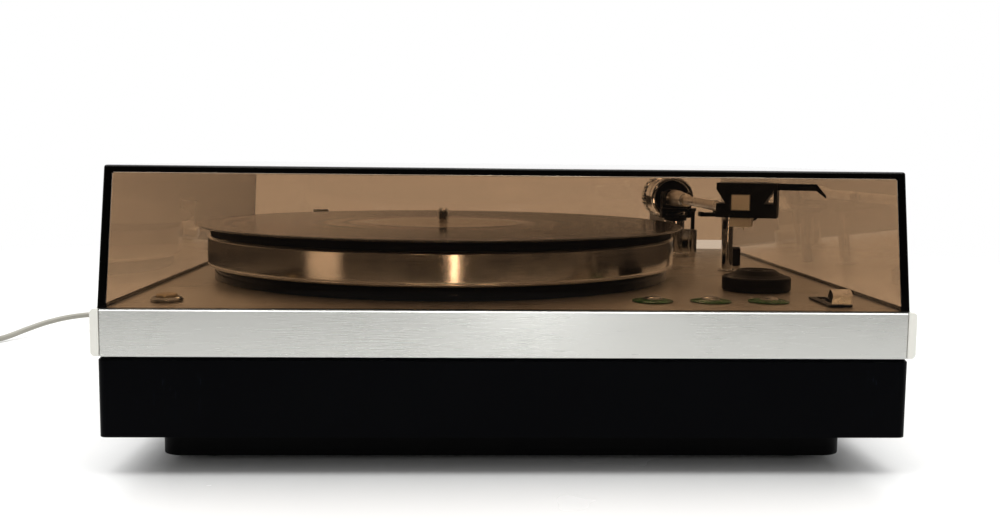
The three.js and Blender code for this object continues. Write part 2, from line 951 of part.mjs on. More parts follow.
function motorPlace() {
  const angle = radians(pulleyBearing);
  return [
    spindleX + pulleyDistance * Math.cos(angle),
    spindleY + pulleyDistance * Math.sin(angle),
  ];
}

function recordDisc() {
  const groove = recordTop - recordGrooveDepth;
  const hole = pinRadius + seat;
  return turnedRing(
    [
      [hole, recordBottom],
      [recordRadius - recordBead / 2, recordBottom],
      [recordRadius, (recordTop + recordBottom) / 2],
      [recordRadius - recordBead / 2, recordTop],
      [recordRadius - recordBead, groove],
      [labelRadius + recordGrooveDepth, groove],
      [labelRadius, recordTop],
      [hole, recordTop],
    ],
    fineSides,
  );
}

function platterMat() {
  const bottom = platterTop + seat;
  const top = bottom + matThickness;
  const hole = pinRadius + seat;
  return turnedRing(
    [
      [hole, bottom],
      [matRadius, bottom],
      [matRadius + matGroove / 2, (bottom + top) / 2],
      [matRadius - matGroove / 2, top],
      [matGrooveRadius + matGroove, top],
      [matGrooveRadius, top - matGroove],
      [matGrooveRadius - matGroove, top],
      [hole, top],
    ],
    fineSides,
  );
}

function platter() {
  const hole = pinRadius + seat;
  const inner = platterRadius - platterRim;
  const under = platterTop - platterWeb;
  return turnedRing(
    [
      [hole, under],
      [inner, under],
      [inner, platterBottom],
      [platterRadius - platterBevel, platterBottom],
      [platterRadius, platterBottom + platterBevel],
      [platterRadius, platterTop - platterBevel],
      [platterRadius - platterBevel, platterTop],
      [hole, platterTop],
    ],
    fineSides,
  );
}

function platterRing() {
  const top = platterBottom - ringRun;
  const inner = ringRadius - ringWidth;
  const steps = 2;
  const round = [];
  for (let step = 0; step <= steps; step++) {
    const angle = (Math.PI / 2) * (step / steps);
    round.push([
      ringRadius - ringRound * (1 - Math.cos(angle)),
      top - ringRound * (1 - Math.sin(angle)),
    ]);
  }
  return turnedRing([[inner, seat], [ringRadius, seat], ...round, [inner, top]], fineSides);
}

function subPlatter() {
  const top = platterTop - platterWeb - seat;
  const bore = shaftRadius + running;
  const bottom = bearingRise + seat;
  return turnedRing(
    [
      [bore, bottom],
      [hubRadius, bottom],
      [hubRadius, subWebRise],
      [subRadius - subRim, subWebRise],
      [subRadius - subRim, subRimRise],
      [subRadius, subRimRise],
      [subRadius, top],
      [subRadius - subRim, top],
      [subRadius - subRim, subWebRise + subWeb],
      [hubRadius, subWebRise + subWeb],
      [hubRadius, top],
      [bore, top],
    ],
    beltSides,
  );
}

function spindle() {
  const bottom = -bearingDepth + bearingFloor + 2 * ballRadius + 2 * running;
  const shoulder = platterTop - platterWeb - seat;
  const tip = recordTop + pinRise;
  return turned(
    [
      [0, bottom],
      [shaftRadius, bottom],
      [shaftRadius, shoulder],
      [pinRadius, shoulder],
      [pinRadius, tip - pinRadius / 2],
      [pinRadius / 2, tip],
      [0, tip],
    ],
    plainSides,
  );
}

function bearingHousing() {
  const bore = shaftRadius + running;
  const flangeTop = chassisBottom - seat - deckTop;
  const flangeBottom = flangeTop - bearingFlangeThickness;
  return turned(
    [
      [0, -bearingDepth],
      [bearingRadius, -bearingDepth],
      [bearingRadius, flangeBottom],
      [bearingFlange, flangeBottom],
      [bearingFlange, flangeTop],
      [bearingRadius, flangeTop],
      [bearingRadius, bearingRise],
      [bore, bearingRise],
      [bore, bearingFloor - bearingDepth],
      [0, bearingFloor - bearingDepth],
    ],
    plainSides,
  );
}

function bearingBall() {
  const centre = bearingFloor - bearingDepth + running + ballRadius;
  const ball = new THREE.SphereGeometry(ballRadius, tinySides, tinySides / 2);
  return solid(ball.rotateX(Math.PI / 2).translate(0, 0, centre));
}

function motorPulley() {
  const bottom = beltRise - pulleyFlangeThickness - seat;
  const lip = bottom + pulleyFlangeThickness;
  const crest = beltRise + beltWidth + seat;
  const top = crest + pulleyFlangeThickness;
  const outer = pulleyRadius + pulleyFlange;
  const shaftEnd = chassisBottom - seat - deckTop - motorShaftDepth;
  return turned(
    [
      [0, shaftEnd],
      [motorShaft, shaftEnd],
      [motorShaft, bottom],
      [outer, bottom],
      [outer, lip],
      [pulleyRadius, lip],
      [pulleyRadius, crest],
      [outer, crest],
      [outer, top],
      [0, top],
    ],
    plainSides,
  );
}

function motorBody() {
  const top = chassisBottom - seat - deckTop;
  const bottom = top - motorHeight;
  const bore = motorShaft + seat;
  const well = top - motorShaftDepth - seat;
  return turned(
    [
      [0, bottom],
      [motorRadius - motorRound, bottom],
      [motorRadius, bottom + motorRound],
      [motorRadius, top - motorRound],
      [motorRadius - motorRound, top],
      [bore, top],
      [bore, well],
      [0, well],
    ],
    plainSides,
  );
}

// The belt runs straight between the tangent points of its two wheels
function beltOutline(thickness) {
  const big = subRadius + seat + thickness;
  const small = pulleyRadius + seat + thickness;
  const lean = Math.acos((big - small) / pulleyDistance);
  return outlineShape([
    ...arcPoints(0, 0, big, lean, 2 * Math.PI - lean, beltSides),
    ...arcPoints(pulleyDistance, 0, small, -lean, lean, smallSides / 2),
  ]);
}

function driveBelt() {
  const span = [beltRise, beltRise + beltWidth];
  const open = [beltRise - overrun, beltRise + beltWidth + overrun];
  const belt = cut(raised(beltOutline(beltThickness), span), raised(beltOutline(0), open));
  return belt.rotate([0, 0, pulleyBearing]);
}

// Tonearm, about the pivot

function liftRodPlace() {
  const angle = radians(liftRodAngle);
  return [liftRadius * Math.cos(angle), liftRadius * Math.sin(angle)];
}

function armColumn() {
  const deck = -pivotHeight;
  const nutTop = chassisBottom - seat - pivotZ;
  const nutBottom = nutTop - columnNutHeight;
  const bore = armShaft + running;
  const column = turnedRing(
    [
      [bore, nutBottom],
      [columnNut, nutBottom],
      [columnNut, nutTop],
      [columnSleeve, nutTop],
      [columnSleeve, deck + seat],
      [columnFlange, deck + seat],
      [columnFlange, deck + columnFlangeHeight],
      [columnRadius, deck + columnFlangeHeight],
      [columnRadius, -forkDrop - seat],
      [bore, -forkDrop - seat],
    ],
    plainSides,
  );
  const [rodX, rodY] = liftRodPlace();
  const span = [deck + seat, deck + liftGuideHeight];
  const guide = post(rodX, rodY, span, liftGuide, tinySides);
  const web = block(
    [(columnRadius + armShaft) / 2, liftRadius],
    [-liftRod, liftRod],
    span,
  ).rotate([0, 0, liftRodAngle]);
  const through = [span[0] - overrun, span[1] + overrun];
  return cut(joined(column, web, guide), post(rodX, rodY, through, liftRod + running, tinySides));
}

function armYoke() {
  const base = -forkDrop;
  const inner = blockRadius + forkGap;
  const outer = inner + forkThickness;
  const shaft = post(0, 0, [-pivotHeight - armShaftDepth, base + forkBase], armShaft);
  const disc = post(0, 0, [base, base + forkBase], forkBaseRadius);
  const bridge = block([-outer, outer], [-forkHalf, forkHalf], [base + forkBase / 2, base + forkBase]);
  const cheek = (side) => {
    const x0 = side > 0 ? inner : -outer;
    const arm = joined(
      block([x0, x0 + forkThickness], [-forkHalf, forkHalf], [base + forkBase / 2, 0]),
      bar("x", x0 + forkThickness / 2, 0, 0, forkHalf, forkThickness, smallSides),
    );
    return arm;
  };
  const hole = bar("x", 0, 0, 0, pivotPin + 2 * running, 2 * (outer + overrun), tinySides);
  return cut(joined(shaft, disc, bridge, cheek(1), cheek(-1)), hole);
}

function shutterVane() {
  const top = -pivotHeight - armShaftDepth + vaneCollarHeight;
  const bottom = top - vaneCollarHeight;
  const middle = (top + bottom) / 2;
  const bore = post(0, 0, [bottom - overrun, top + overrun], armShaft + running);
  const collar = post(0, 0, [bottom, top], vaneCollar, smallSides);
  const blade = block(
    [0, vaneLength],
    [-vaneWidth / 2, vaneWidth / 2],
    [middle - vaneThickness / 2, middle + vaneThickness / 2],
  );
  return cut(joined(collar, blade.rotate([0, 0, vaneBearing])), bore);
}

function sensorBlock() {
  const middle = -pivotHeight - armShaftDepth + vaneCollarHeight / 2;
  const tray = trayFloorTop + seat - pivotZ;
  const jaws = block(
    [sensorDistance - sensorHeel, sensorDistance + sensorLength],
    [-sensorWidth / 2, sensorWidth / 2],
    [tray, middle + sensorGap + sensorJaw],
  );
  const gap = block(
    [sensorDistance - sensorHeel - overrun, vaneLength + sensorGap],
    [-sensorWidth, sensorWidth],
    [middle - sensorGap, middle + sensorGap],
  );
  return cut(jaws, gap).rotate([0, 0, sensorBearing]);
}

function armTube() {
  const stem = armReach - socketFrom - socketLength + socketDepth - seat;
  const form = turnedAlong([
    [0, -stem],
    [tubeRadius, -stem],
    [tubeRadius, -coneEnd - coneLip],
    [coneTip, -coneEnd - coneLip],
    [coneTip, -coneEnd],
    [blockRadius, -blockHalf],
    [blockRadius, blockHalf],
    [0, blockHalf],
  ]);
  const pins = bar("x", 0, 0, 0, pivotPin, 2 * (blockRadius + forkGap + forkThickness / 2), tinySides);
  return joined(form, pins);
}

function headshell() {
  const [left, right] = [shellMiddle - shellWidth / 2, shellMiddle + shellWidth / 2];
  const [front, rear] = [-shellFront, shellLength - shellFront];
  const band = shellBottom + shellBand;
  const plate = shellTop - shellPlate;
  const face = carriedBack(
    [
      [left, shellBottom],
      [right, shellBottom],
      [right, shellTop],
      [left, shellTop],
      [left, plate],
      [left + shellNeck, band],
      [left, band],
    ],
    [front, rear],
  );
  const window = carriedBack(
    [
      [right - shellSide - shellNeck, band],
      [right - shellSide, band],
      [right - shellSide, plate],
    ],
    [front - overrun, rear + overrun],
  );
  const [tubeX, tubeY] = fromShell();
  const plan = raised(
    outlineShape([
      [left, front],
      [right, front],
      [right, rear - shellTaper],
      [tubeX + shellRearHalf, rear],
      [tubeX - shellRearHalf, rear],
      [left, rear - shellTaper],
    ]),
    [shellBottom - overrun, shellTop + overrun],
  );
  const half = cartridgeWidth / 2 + seat;
  const pocket = block(
    [cartridgeMiddle - half, cartridgeMiddle + half],
    [front + shellSkin, front + shellSkin + cartridgeLength + 2 * seat],
    [shellBottom - overrun, cartridgeTop + seat],
  );
  const faceHalf = cartridgeFaceWidth / 2 + seat;
  const mouth = block(
    [cartridgeMiddle - faceHalf, cartridgeMiddle + faceHalf],
    [front - overrun, front + shellSkin + overrun],
    [cartridgeFaceBottom - seat, cartridgeFaceBottom + cartridgeFaceHeight + seat],
  );
  const lift = carriedBack(
    [
      [right - shellSide, plate],
      [right + fingerLength, plate],
      [right + fingerLength + fingerTip, plate - fingerDrop],
      [right + fingerLength + fingerTip, plate - fingerDrop + fingerThickness],
      [right + fingerLength, plate + fingerHeight],
      [right - shellSide, plate + fingerHeight],
    ],
    [front + fingerThickness, front + 2 * fingerThickness],
  );
  const socket = turnedAlong([
    [0, 0],
    [socketRadius, 0],
    [socketRadius, socketLength],
    [0, socketLength],
  ]).rotate([0, 0, offsetAngle]).translate([tubeX, tubeY, 0]);
  const bore = turnedAlong([
    [0, 0],
    [tubeRadius + seat, 0],
    [tubeRadius + seat, socketDepth + overrun],
    [0, socketDepth + overrun],
  ]).rotate([0, 0, offsetAngle]);
  const start = [tubeX, tubeY, 0];
  const inward = socketLength - socketDepth;
  start[0] -= inward * Math.sin(radians(offsetAngle));
  start[1] += inward * Math.cos(radians(offsetAngle));
  const body = cut(face.intersect(plan), window);
  return cut(joined(body, lift, socket), pocket, mouth, bore.translate(start));
}

// Where the arm tube's line ends, seen from the stylus along the headshell
function fromShell() {
  const angle = radians(offsetAngle);
  const [x, y] = [stylusAside, socketFrom];
  return [x * Math.cos(angle) - y * Math.sin(angle), x * Math.sin(angle) + y * Math.cos(angle)];
}

function cartridge() {
  const front = -shellFront + shellSkin + seat;
  const half = cartridgeWidth / 2;
  const body = block(
    [cartridgeMiddle - half, cartridgeMiddle + half],
    [front, front + cartridgeLength],
    [shellBottom, cartridgeTop],
  );
  const faceHalf = cartridgeFaceWidth / 2;
  const face = block(
    [cartridgeMiddle - faceHalf, cartridgeMiddle + faceHalf],
    [-shellFront - seat, front + seat],
    [cartridgeFaceBottom, cartridgeFaceBottom + cartridgeFaceHeight],
  );
  return joined(body, face);
}

function stylusHolder() {
  const front = -shellFront + shellSkin + seat;
  const half = holderWidth / 2;
  const top = shellBottom - seat;
  const body = across(
    [
      [front, holderBottom],
      [front + holderLength * holderHeelShare, holderBottom],
      [front + holderLength, top],
      [front, top],
    ],
    [cartridgeMiddle - half, cartridgeMiddle + half],
  );
  const root = front + cantileverRadius;
  const tip = new THREE.CylinderGeometry(
    cantileverRadius,
    cantileverRadius / 2,
    cantileverLength,
    tinySides,
  );
  const reach = holderBottom - stylusDrop;
  const needle = solid(tip.rotateX(Math.PI / 2).translate(0, 0, stylusDrop + cantileverLength / 2));
  const arm = block(
    [-cantileverRadius, cantileverRadius],
    [root, cantileverRadius],
    [holderBottom - reach * cantileverShare, holderBottom + cantileverRadius],
  );
  return joined(body, needle, arm);
}

function balanceStub() {
  const start = blockHalf + seat;
  return turnedAlong([
    [0, start],
    [stubFlange, start],
    [stubFlange, start + stubFlangeLength],
    [stubRadius, start + stubFlangeLength],
    [stubRadius, start + stubLength],
    [0, start + stubLength],
  ]);
}

function balanceSleeve() {
  const bore = stubRadius + running;
  const end = sleeveStart + sleeveLength;
  const profile = [
    [bore, sleeveStart],
    [sleeveRadius, sleeveStart],
    [sleeveRadius, end],
    [bore, end],
    [bore, sleeveStart],
  ];
  return turnedAlong(profile);
}

function counterweight() {
  const bore = sleeveRadius + 2 * running;
  const end = weightStart + weightLength;
  const form = turnedAlong(
    [
      [bore, weightStart + weightCupDepth],
      [weightCup, weightStart + weightCupDepth],
      [weightCup, weightStart],
      [weightRadius - weightRound, weightStart],
      [weightRadius, weightStart + weightRound],
      [weightRadius, end - knurlLength / 2],
      [bore, end - knurlLength / 2],
      [bore, weightStart + weightCupDepth],
    ],
    roundSides,
  );
  const shape = new THREE.Shape();
  for (let tooth = 0; tooth < 2 * knurlTeeth; tooth++) {
    const angle = (Math.PI * tooth) / knurlTeeth;
    const radius = tooth % 2 ? knurlRadius : knurlRadius - knurlDepth;
    const point = [radius * Math.cos(angle), radius * Math.sin(angle)];
    if (tooth === 0) shape.moveTo(...point);
    else shape.lineTo(...point);
  }
  shape.closePath();
  const ring = raised(shape, [0, knurlLength]).rotate([90, 0, 0]).translate([0, end, 0]);
  const open = bar("y", 0, end, 0, bore, 4 * knurlLength, plainSides);
  return cut(joined(form, ring), open);
}

function liftBar() {
  const top = -blockRadius - liftGap;
  const span = [top - liftThickness, top];
  const [inner, outer] = [liftRadius - liftWidth / 2, liftRadius + liftWidth / 2];
  const shape = new THREE.Shape();
  const [start, end] = [radians(liftStart), radians(liftEnd)];
  shape.absarc(0, 0, outer, start, end, true);
  shape.absarc(0, 0, inner, end, start, false);
  shape.closePath();
  const arc = raised(shape, span, tinySides);
  const [rodX, rodY] = liftRodPlace();
  const bottom = chassisBottom - pivotZ - liftRodDepth;
  return joined(arc, post(rodX, rodY, [bottom, top - liftThickness / 2], liftRod, tinySides));
}

function armRestPost() {
  const bottom = deckUnder - restSpigotDepth - deckTop;
  return turned(
    [
      [0, bottom],
      [restSpigot, bottom],
      [restSpigot, seat],
      [restFlange, seat],
      [restFlange, restFlangeHeight],
      [restRadius, restFlangeHeight],
      [restRadius, restHeight],
      [0, restHeight],
    ],
    plainSides,
  );
}

function armRestCradle() {
  const floorTop = pivotHeight - tubeRadius - cradleGap;
  const floor = floorTop - cradleFloor;
  const top = floor + cradleHeight;
  const tubeX = pivotX - restX;
  const wall = tubeX + tubeRadius + cradleSide;
  const lip = tubeX - tubeRadius - cradleSide;
  const collar = post(0, 0, [floor, top], cradleCollar, smallSides);
  const ledge = block([lip - cradleWall, 0], [-cradleHalf, cradleHalf], [floor, floorTop]);
  const keeper = block(
    [wall, wall + cradleWall],
    [-cradleHalf, cradleHalf],
    [floor, floorTop + cradleWallRise],
  );
  const step = block(
    [lip - cradleWall, lip],
    [-cradleHalf, cradleHalf],
    [floor, floorTop + cradleLip],
  );
  const bore = post(0, 0, [floor - overrun, restHeight + seat], restRadius + seat);
  return cut(joined(collar, ledge, keeper, step), bore);
}

function skateSlider() {
  const bottom = deckUnder - seat - skateShoeThickness - deckTop;
  const half = skateWidth / 2;
  const tab = across(
    [
      [-skateDepth / 2, seat],
      [skateDepth / 2, seat],
      [skateDepth / 2, skateHeight - skateCap],
      [0, skateHeight],
      [-skateDepth / 2, skateHeight - skateCap],
    ],
    [-half, half],
  );
  const stem = block(
    [-skateStem / 2, skateStem / 2],
    [-skateStem / 2, skateStem / 2],
    [bottom, seat + skateCap],
  );
  const shoe = block(
    [-skateShoe / 2, skateShoe / 2],
    [-skateShoe / 2, skateShoe / 2],
    [bottom, bottom + skateShoeThickness],
  );
  return joined(tab, stem, shoe);
}

// Controls, about their own middle and above the deck

function keyRing() {
  const inner = keyRadius + slip;
  return turnedRing(
    [
      [inner, -keySleeveDepth],
      [keySleeve, -keySleeveDepth],
      [keySleeve, seat],
      [keyRingRadius, seat],
      [keyRingRadius, keyRingEdge],
      [inner + keyRingEdge, keyRingHeight],
      [inner, keyRingHeight],
    ],
    keySides,
  );
}

function keyStemBottom() {
  return -boardDepth + boardThickness + switchHeight + seat + keyTravel;
}

function key() {
  const bottom = keyStemBottom();
  const skirt = -keySleeveDepth / 2;
  return turned(
    [
      [0, bottom],
      [keyStem, bottom],
      [keyStem, skirt],
      [keyRadius, skirt],
      [keyRadius, keyRise - keyDome],
      [keyRadius - keyDome, keyRise - keyDome * keyShoulderShare],
      [keyRadius / 2, keyRise],
      [0, keyRise],
    ],
    keySides,
  );
}

function powerBezel() {
  const inner = powerRadius + slip;
  return turnedRing(
    [
      [inner, -bezelSleeveDepth],
      [bezelSleeve, -bezelSleeveDepth],
      [bezelSleeve, seat],
      [bezelRadius, seat],
      [bezelRadius, bezelHeight / 2],
      [inner + slip, bezelHeight],
      [inner, bezelHeight],
    ],
    keySides,
  );
}

function powerButton() {
  return turned(
    [
      [0, -powerStemDepth],
      [powerStem, -powerStemDepth],
      [powerStem, -bezelSleeveDepth / 2],
      [powerRadius, -bezelSleeveDepth / 2],
      [powerRadius, powerRise - powerDome],
      [powerRadius - powerDome, powerRise],
      [powerRadius / 2, powerRise],
      [0, powerRise - powerDome / 2],
    ],
    keySides,
  );
}

function powerSwitch() {
  const top = -powerStemDepth - powerTravel - seat;
  const [halfX, halfY] = [powerSwitchWidth / 2, powerSwitchDepth / 2];
  const ear = (side) => {
    const x0 = side > 0 ? halfX - powerSwitchEar : -halfX;
    return block([x0, x0 + powerSwitchEar], [-halfY, halfY], [top - powerSwitchEar, -deckThickness - seat]);
  };
  const body = block([-halfX, halfX], [-halfY, halfY], [top - powerSwitchHeight, top]);
  return joined(body, ear(1), ear(-1));
}

function cuePlateWithCheeks() {
  const [halfX, halfY] = [cueWidth / 2, cueLength / 2];
  const span = [seat, cuePlate];
  const plate = raised(roundedShape(halfX, halfY, cuePlateCorner), span);
  const slot = block(
    [-cueSlotWidth / 2, cueSlotWidth / 2],
    [-cueSlotLength / 2, cueSlotLength / 2],
    [-overrun, cuePlate + overrun],
  );
  const inner = cueSlotWidth / 2;
  const cheek = (side) => {
    const x0 = side > 0 ? inner : -inner - cueCheek;
    const arm = joined(
      block([x0, x0 + cueCheek], [-cueCheekHalf, cueCheekHalf], [-cuePivotDepth, cuePlate]),
      bar("x", x0 + cueCheek / 2, 0, -cuePivotDepth, cueCheekHalf, cueCheek, smallSides),
    );
    return arm;
  };
  const hole = bar("x", 0, 0, -cuePivotDepth, cuePin + running, cueWidth, tinySides);
  return cut(joined(cut(plate, slot), cheek(1), cheek(-1)), hole);
}

// The lever stands upright here, about its pivot; its group leans it forward
function cueLever() {
  const gripBottom = cuePivotDepth + cueGripRise;
  const stalk = block(
    [-cueStalk / 2, cueStalk / 2],
    [-cueStalk / 2, cueStalk / 2],
    [0, gripBottom + cueGripHeight / 2],
  );
  const hub = bar("x", 0, 0, 0, cueStalk, cueStalk, smallSides);
  const pins = bar("x", 0, 0, 0, cuePin, cueSlotWidth + cueCheek, tinySides);
  const half = cueGripLength / 2;
  const flank = (side) =>
    cueGripShares.map(([aside, up]) => [side * half * aside, gripBottom + cueGripHeight * up]);
  const outline = [...flank(1), ...flank(-1).reverse()];
  const grip = across(outline, [-cueGrip / 2, cueGrip / 2]);
  return joined(stalk, hub, pins, grip);
}

function adaptor() {
  const bottom = seat;
  const top = bottom + adaptorHeight;
  return turnedRing(
    [
      [adaptorBore, bottom],
      [adaptorRadius - seat, bottom],
      [adaptorRadius, bottom + 2 * seat],
      [adaptorRadius, top - 2 * seat],
      [adaptorRadius - 2 * seat, top],
      [adaptorHub + adaptorHubRise, top],
      [adaptorHub, top + adaptorHubRise],
      [adaptorBore + seat, top + adaptorHubRise],
      [adaptorBore, top + adaptorHubRise - seat],
    ],
    plainSides,
  );
}

// Electrics

function circuitBoard() {
  const [left, right] = [
    keyFirstX - boardMargin,
    keyFirstX + (keyCount - 1) * keyPitch + boardMargin,
  ];
  const [front, back] = [frontY + boardFront, frontY + boardFront + boardLength];
  const [bottom, top] = [deckTop - boardDepth, deckTop - boardDepth + boardThickness];
  let board = block([left, right], [front, back], [bottom, top]);
  for (const x of [left + standoffRadius, right - standoffRadius]) {
    for (const y of [front + standoffRadius, back - standoffRadius]) {
      const pillar = post(x, y, [bottom, deckUnder - seat], standoffRadius / 2, tinySides);
      board = joined(board, pillar);
    }
  }
  for (let index = 0; index < keyCount; index++) {
    const x = keyFirstX + index * keyPitch;
    const y = frontY + keyFromFront;
    const half = switchSize / 2;
    const body = block([x - half, x + half], [y - half, y + half], [bottom, top + switchHeight]);
    const capacitor = post(
      x + keyPitch / 2,
      back - boardMargin,
      [bottom - capacitorHeight, top],
      capacitorRadius,
      smallSides,
    );
    board = index < keyCount - 1 ? joined(board, body, capacitor) : joined(board, body);
  }
  return board;
}

function transformer() {
  const bottom = trayFloorTop + seat;
  const core = block(
    [-coreWidth / 2, coreWidth / 2],
    [-coreDepth / 2, coreDepth / 2],
    [bottom, bottom + coreHeight],
  );
  const middle = bottom + coreHeight / 2;
  const bobbin = raised(
    roundedShape(coilWidth / 2, coilDepth / 2, coilWidth * coilCornerShare),
    [middle - coilHeight / 2, middle + coilHeight / 2],
  );
  const feet = block(
    [-coreFoot / 2, coreFoot / 2],
    [-coreDepth / 2, coreDepth / 2],
    [bottom, bottom + coreFootHeight],
  );
  return joined(core, bobbin, feet);
}

// Mains lead

function strainRelief() {
  const start = backY + seat;
  const pitch = (reliefLength - reliefFlangeThickness) / (reliefRibs + 1);
  const profile = [
    [0, start - plinthWall],
    [reliefBase, start - plinthWall],
    [reliefBase, start],
    [reliefFlange, start],
    [reliefFlange, start + reliefFlangeThickness],
  ];
  for (let rib = 0; rib <= reliefRibs; rib++) {
    const along = start + reliefFlangeThickness + rib * pitch;
    const share = rib / (reliefRibs + 1);
    const radius = reliefBase + (reliefTip - reliefBase) * share;
    const groove = radius - reliefGroove;
    profile.push([radius, along], [radius, along + pitch * reliefRibShare]);
    profile.push([groove, along + pitch * reliefFlankShare], [groove, along + pitch]);
  }
  const end = start + reliefLength;
  profile.push([reliefTip - reliefGroove, end], [0, end]);
  return turnedAlong(profile, smallSides);
}

function signalGland() {
  const end = backY - seat;
  const start = end - plinthWall;
  return turnedAlong(
    [
      [glandBore, start - plinthWall / 2],
      [glandBore + overrun - seat, start - plinthWall / 2],
      [glandBore + overrun - seat, end - glandRecess + seat],
      [glandRadius, end - glandRecess + seat],
      [glandRadius, end],
      [glandBore, end],
      [glandBore, start - plinthWall / 2],
    ],
    smallSides,
  );
}

function routePoints() {
  const low = leadDiameter / 2;
  const behind = backY + seat + reliefLength + seat;
  return leadRoute.map(
    ([aside, back, rise]) =>
      new THREE.Vector3(leadX + aside, behind + back, THREE.MathUtils.lerp(low, leadHeight, rise)),
  );
}

function mainsLead() {
  const path = new THREE.CatmullRomCurve3(routePoints(), false, "centripetal");
  const section = new THREE.Shape();
  for (let side = 0; side < leadSides; side++) {
    const angle = (2 * Math.PI * (side + 1 / 2)) / leadSides;
    const corner = [(leadDiameter / 2) * Math.cos(angle), (leadDiameter / 2) * Math.sin(angle)];
    if (side === 0) section.moveTo(...corner);
    else section.lineTo(...corner);
  }
  section.closePath();
  return solid(new THREE.ExtrudeGeometry(section, { extrudePath: path, steps: leadSteps }));
}

// The put-away coil: loops spiral in on the table, climb, and spiral out on top
function coilPath() {
  const pitch = leadDiameter + coilGap;
  const perLayer = coilLoops / coilLayers;
  const [before, end] = routePoints().slice(-2);
  const heading = new THREE.Vector2(end.x - before.x, end.y - before.y).normalize();
  const outer = coilRadius + (pitch * (perLayer - 1 / 2)) / 2;
  const lead = 2 * leadDiameter;
  const start = new THREE.Vector2(end.x, end.y).addScaledVector(heading, seat);
  const entry = start.clone().addScaledVector(heading, lead);
  const centre = new THREE.Vector2(entry.x + heading.y * outer, entry.y - heading.x * outer);
  const first = Math.atan2(entry.y - centre.y, entry.x - centre.x);
  const low = leadDiameter / 2;
  const points = [new THREE.Vector3(start.x, start.y, low)];
  const ease = (share) => share * share * (3 - 2 * share);
  const steps = coilLoops * coilLoopSteps;
  for (let step = 0; step <= steps; step++) {
    const turns = step / coilLoopSteps;
    const inward = Math.min(turns, perLayer);
    const outward = Math.max(turns - perLayer, 0);
    const radius = outer - pitch * (inward - outward);
    const rising = THREE.MathUtils.clamp((turns - perLayer) * 2 + 1 / 2, 0, 1);
    const angle = first - 2 * Math.PI * turns;
    points.push(
      new THREE.Vector3(
        centre.x + radius * Math.cos(angle),
        centre.y + radius * Math.sin(angle),
        low + pitch * ease(rising),
      ),
    );
  }
  const last = points[points.length - 1];
  const angle = first - 2 * Math.PI * coilLoops;
  const away = new THREE.Vector3(Math.sin(angle), -Math.cos(angle), 0);
  for (const share of coilExitShares) {
    const next = last.clone().addScaledVector(away, coilExit * share);
    next.z = Math.min(last.z, THREE.MathUtils.lerp(last.z, plugThickness / 2, share));
    points.push(next);
  }
  const tip = points[points.length - 1];
  return { points, away, tip };
}

// One unbroken tube through level-lying points
function woundTube(points, radius, sides) {
  const rings = points.map((point, i) => {
    const before = points[Math.max(i - 1, 0)];
    const after = points[Math.min(i + 1, points.length - 1)];
    const tangent = after.clone().sub(before).normalize();
    const aside = new THREE.Vector3(tangent.y, -tangent.x, 0).normalize();
    const upward = aside.clone().cross(tangent).normalize();
    const ring = [];
    for (let side = 0; side < sides; side++) {
      const angle = (2 * Math.PI * (side + 1 / 2)) / sides;
      ring.push(
        point
          .clone()
          .addScaledVector(aside, radius * Math.cos(angle))
          .addScaledVector(upward, radius * Math.sin(angle)),
      );
    }
    return ring;
  });
  const positions = rings.flat().flatMap(({ x, y, z }) => [x, y, z]);
  const index = [];
  for (let ring = 0; ring < rings.length - 1; ring++) {
    for (let side = 0; side < sides; side++) {
      const [a, b] = [ring * sides + side, ring * sides + ((side + 1) % sides)];
      index.push(a, b + sides, b, a, a + sides, b + sides);
    }
  }
  const last = (rings.length - 1) * sides;
  for (let side = 1; side < sides - 1; side++) {
    index.push(0, side, side + 1);
    index.push(last, last + side + 1, last + side);
  }
  const geometry = new THREE.BufferGeometry();
  geometry.setAttribute("position", new THREE.Float32BufferAttribute(positions, 3));
  geometry.setIndex(index);
  return solid(geometry);
}

// The least free space between stretches of the coil more than half a loop apart
function leastGap(points, diameter) {
  let least = Infinity;
  for (let i = 0; i < points.length; i++) {
    for (let j = i + coilLoopSteps / 2; j < points.length - 1; j++) {
      const [a, b] = [points[j], points[j + 1]];
      const along = b.clone().sub(a);
      const share = points[i].clone().sub(a).dot(along) / along.lengthSq();
      const nearest = a.clone().addScaledVector(along, THREE.MathUtils.clamp(share, 0, 1));
      least = Math.min(least, nearest.distanceTo(points[i]) - diameter);
    }
  }
  return least;
}

function mainsPlug(tip, away) {
  const [half, neckHalf] = [plugWidth / 2, plugNeckWidth / 2];
  const outline = outlineShape([
    [-neckHalf, seat],
    [neckHalf, seat],
    [neckHalf, plugNeck],
    [half, plugNeck + plugCorner],
    [half, plugLength - plugCorner],
    [half - plugCorner, plugLength],
    [plugCorner - half, plugLength],
    [-half, plugLength - plugCorner],
    [-half, plugNeck + plugCorner],
    [-neckHalf, plugNeck],
  ]);
  const pins = [-1, 1].map((side) =>
    bar(
      "y",
      (side * plugPinPitch) / 2,
      plugLength + plugPinLength / 2 - overrun,
      plugThickness / 2,
      plugPin,
      plugPinLength,
      tinySides,
    ),
  );
  const body = joined(raised(outline, [0, plugThickness]), ...pins);
  const angle = THREE.MathUtils.radToDeg(Math.atan2(away.y, away.x)) - 90;
  return placed(body, tip.x, tip.y, angle);
}

// The whole turntable
const turntable = new THREE.Group();

function group(x, y, z, parent = turntable) {
  const made = new THREE.Group();
  made.position.set(x, y, z);
  parent.add(made);
  return made;
}

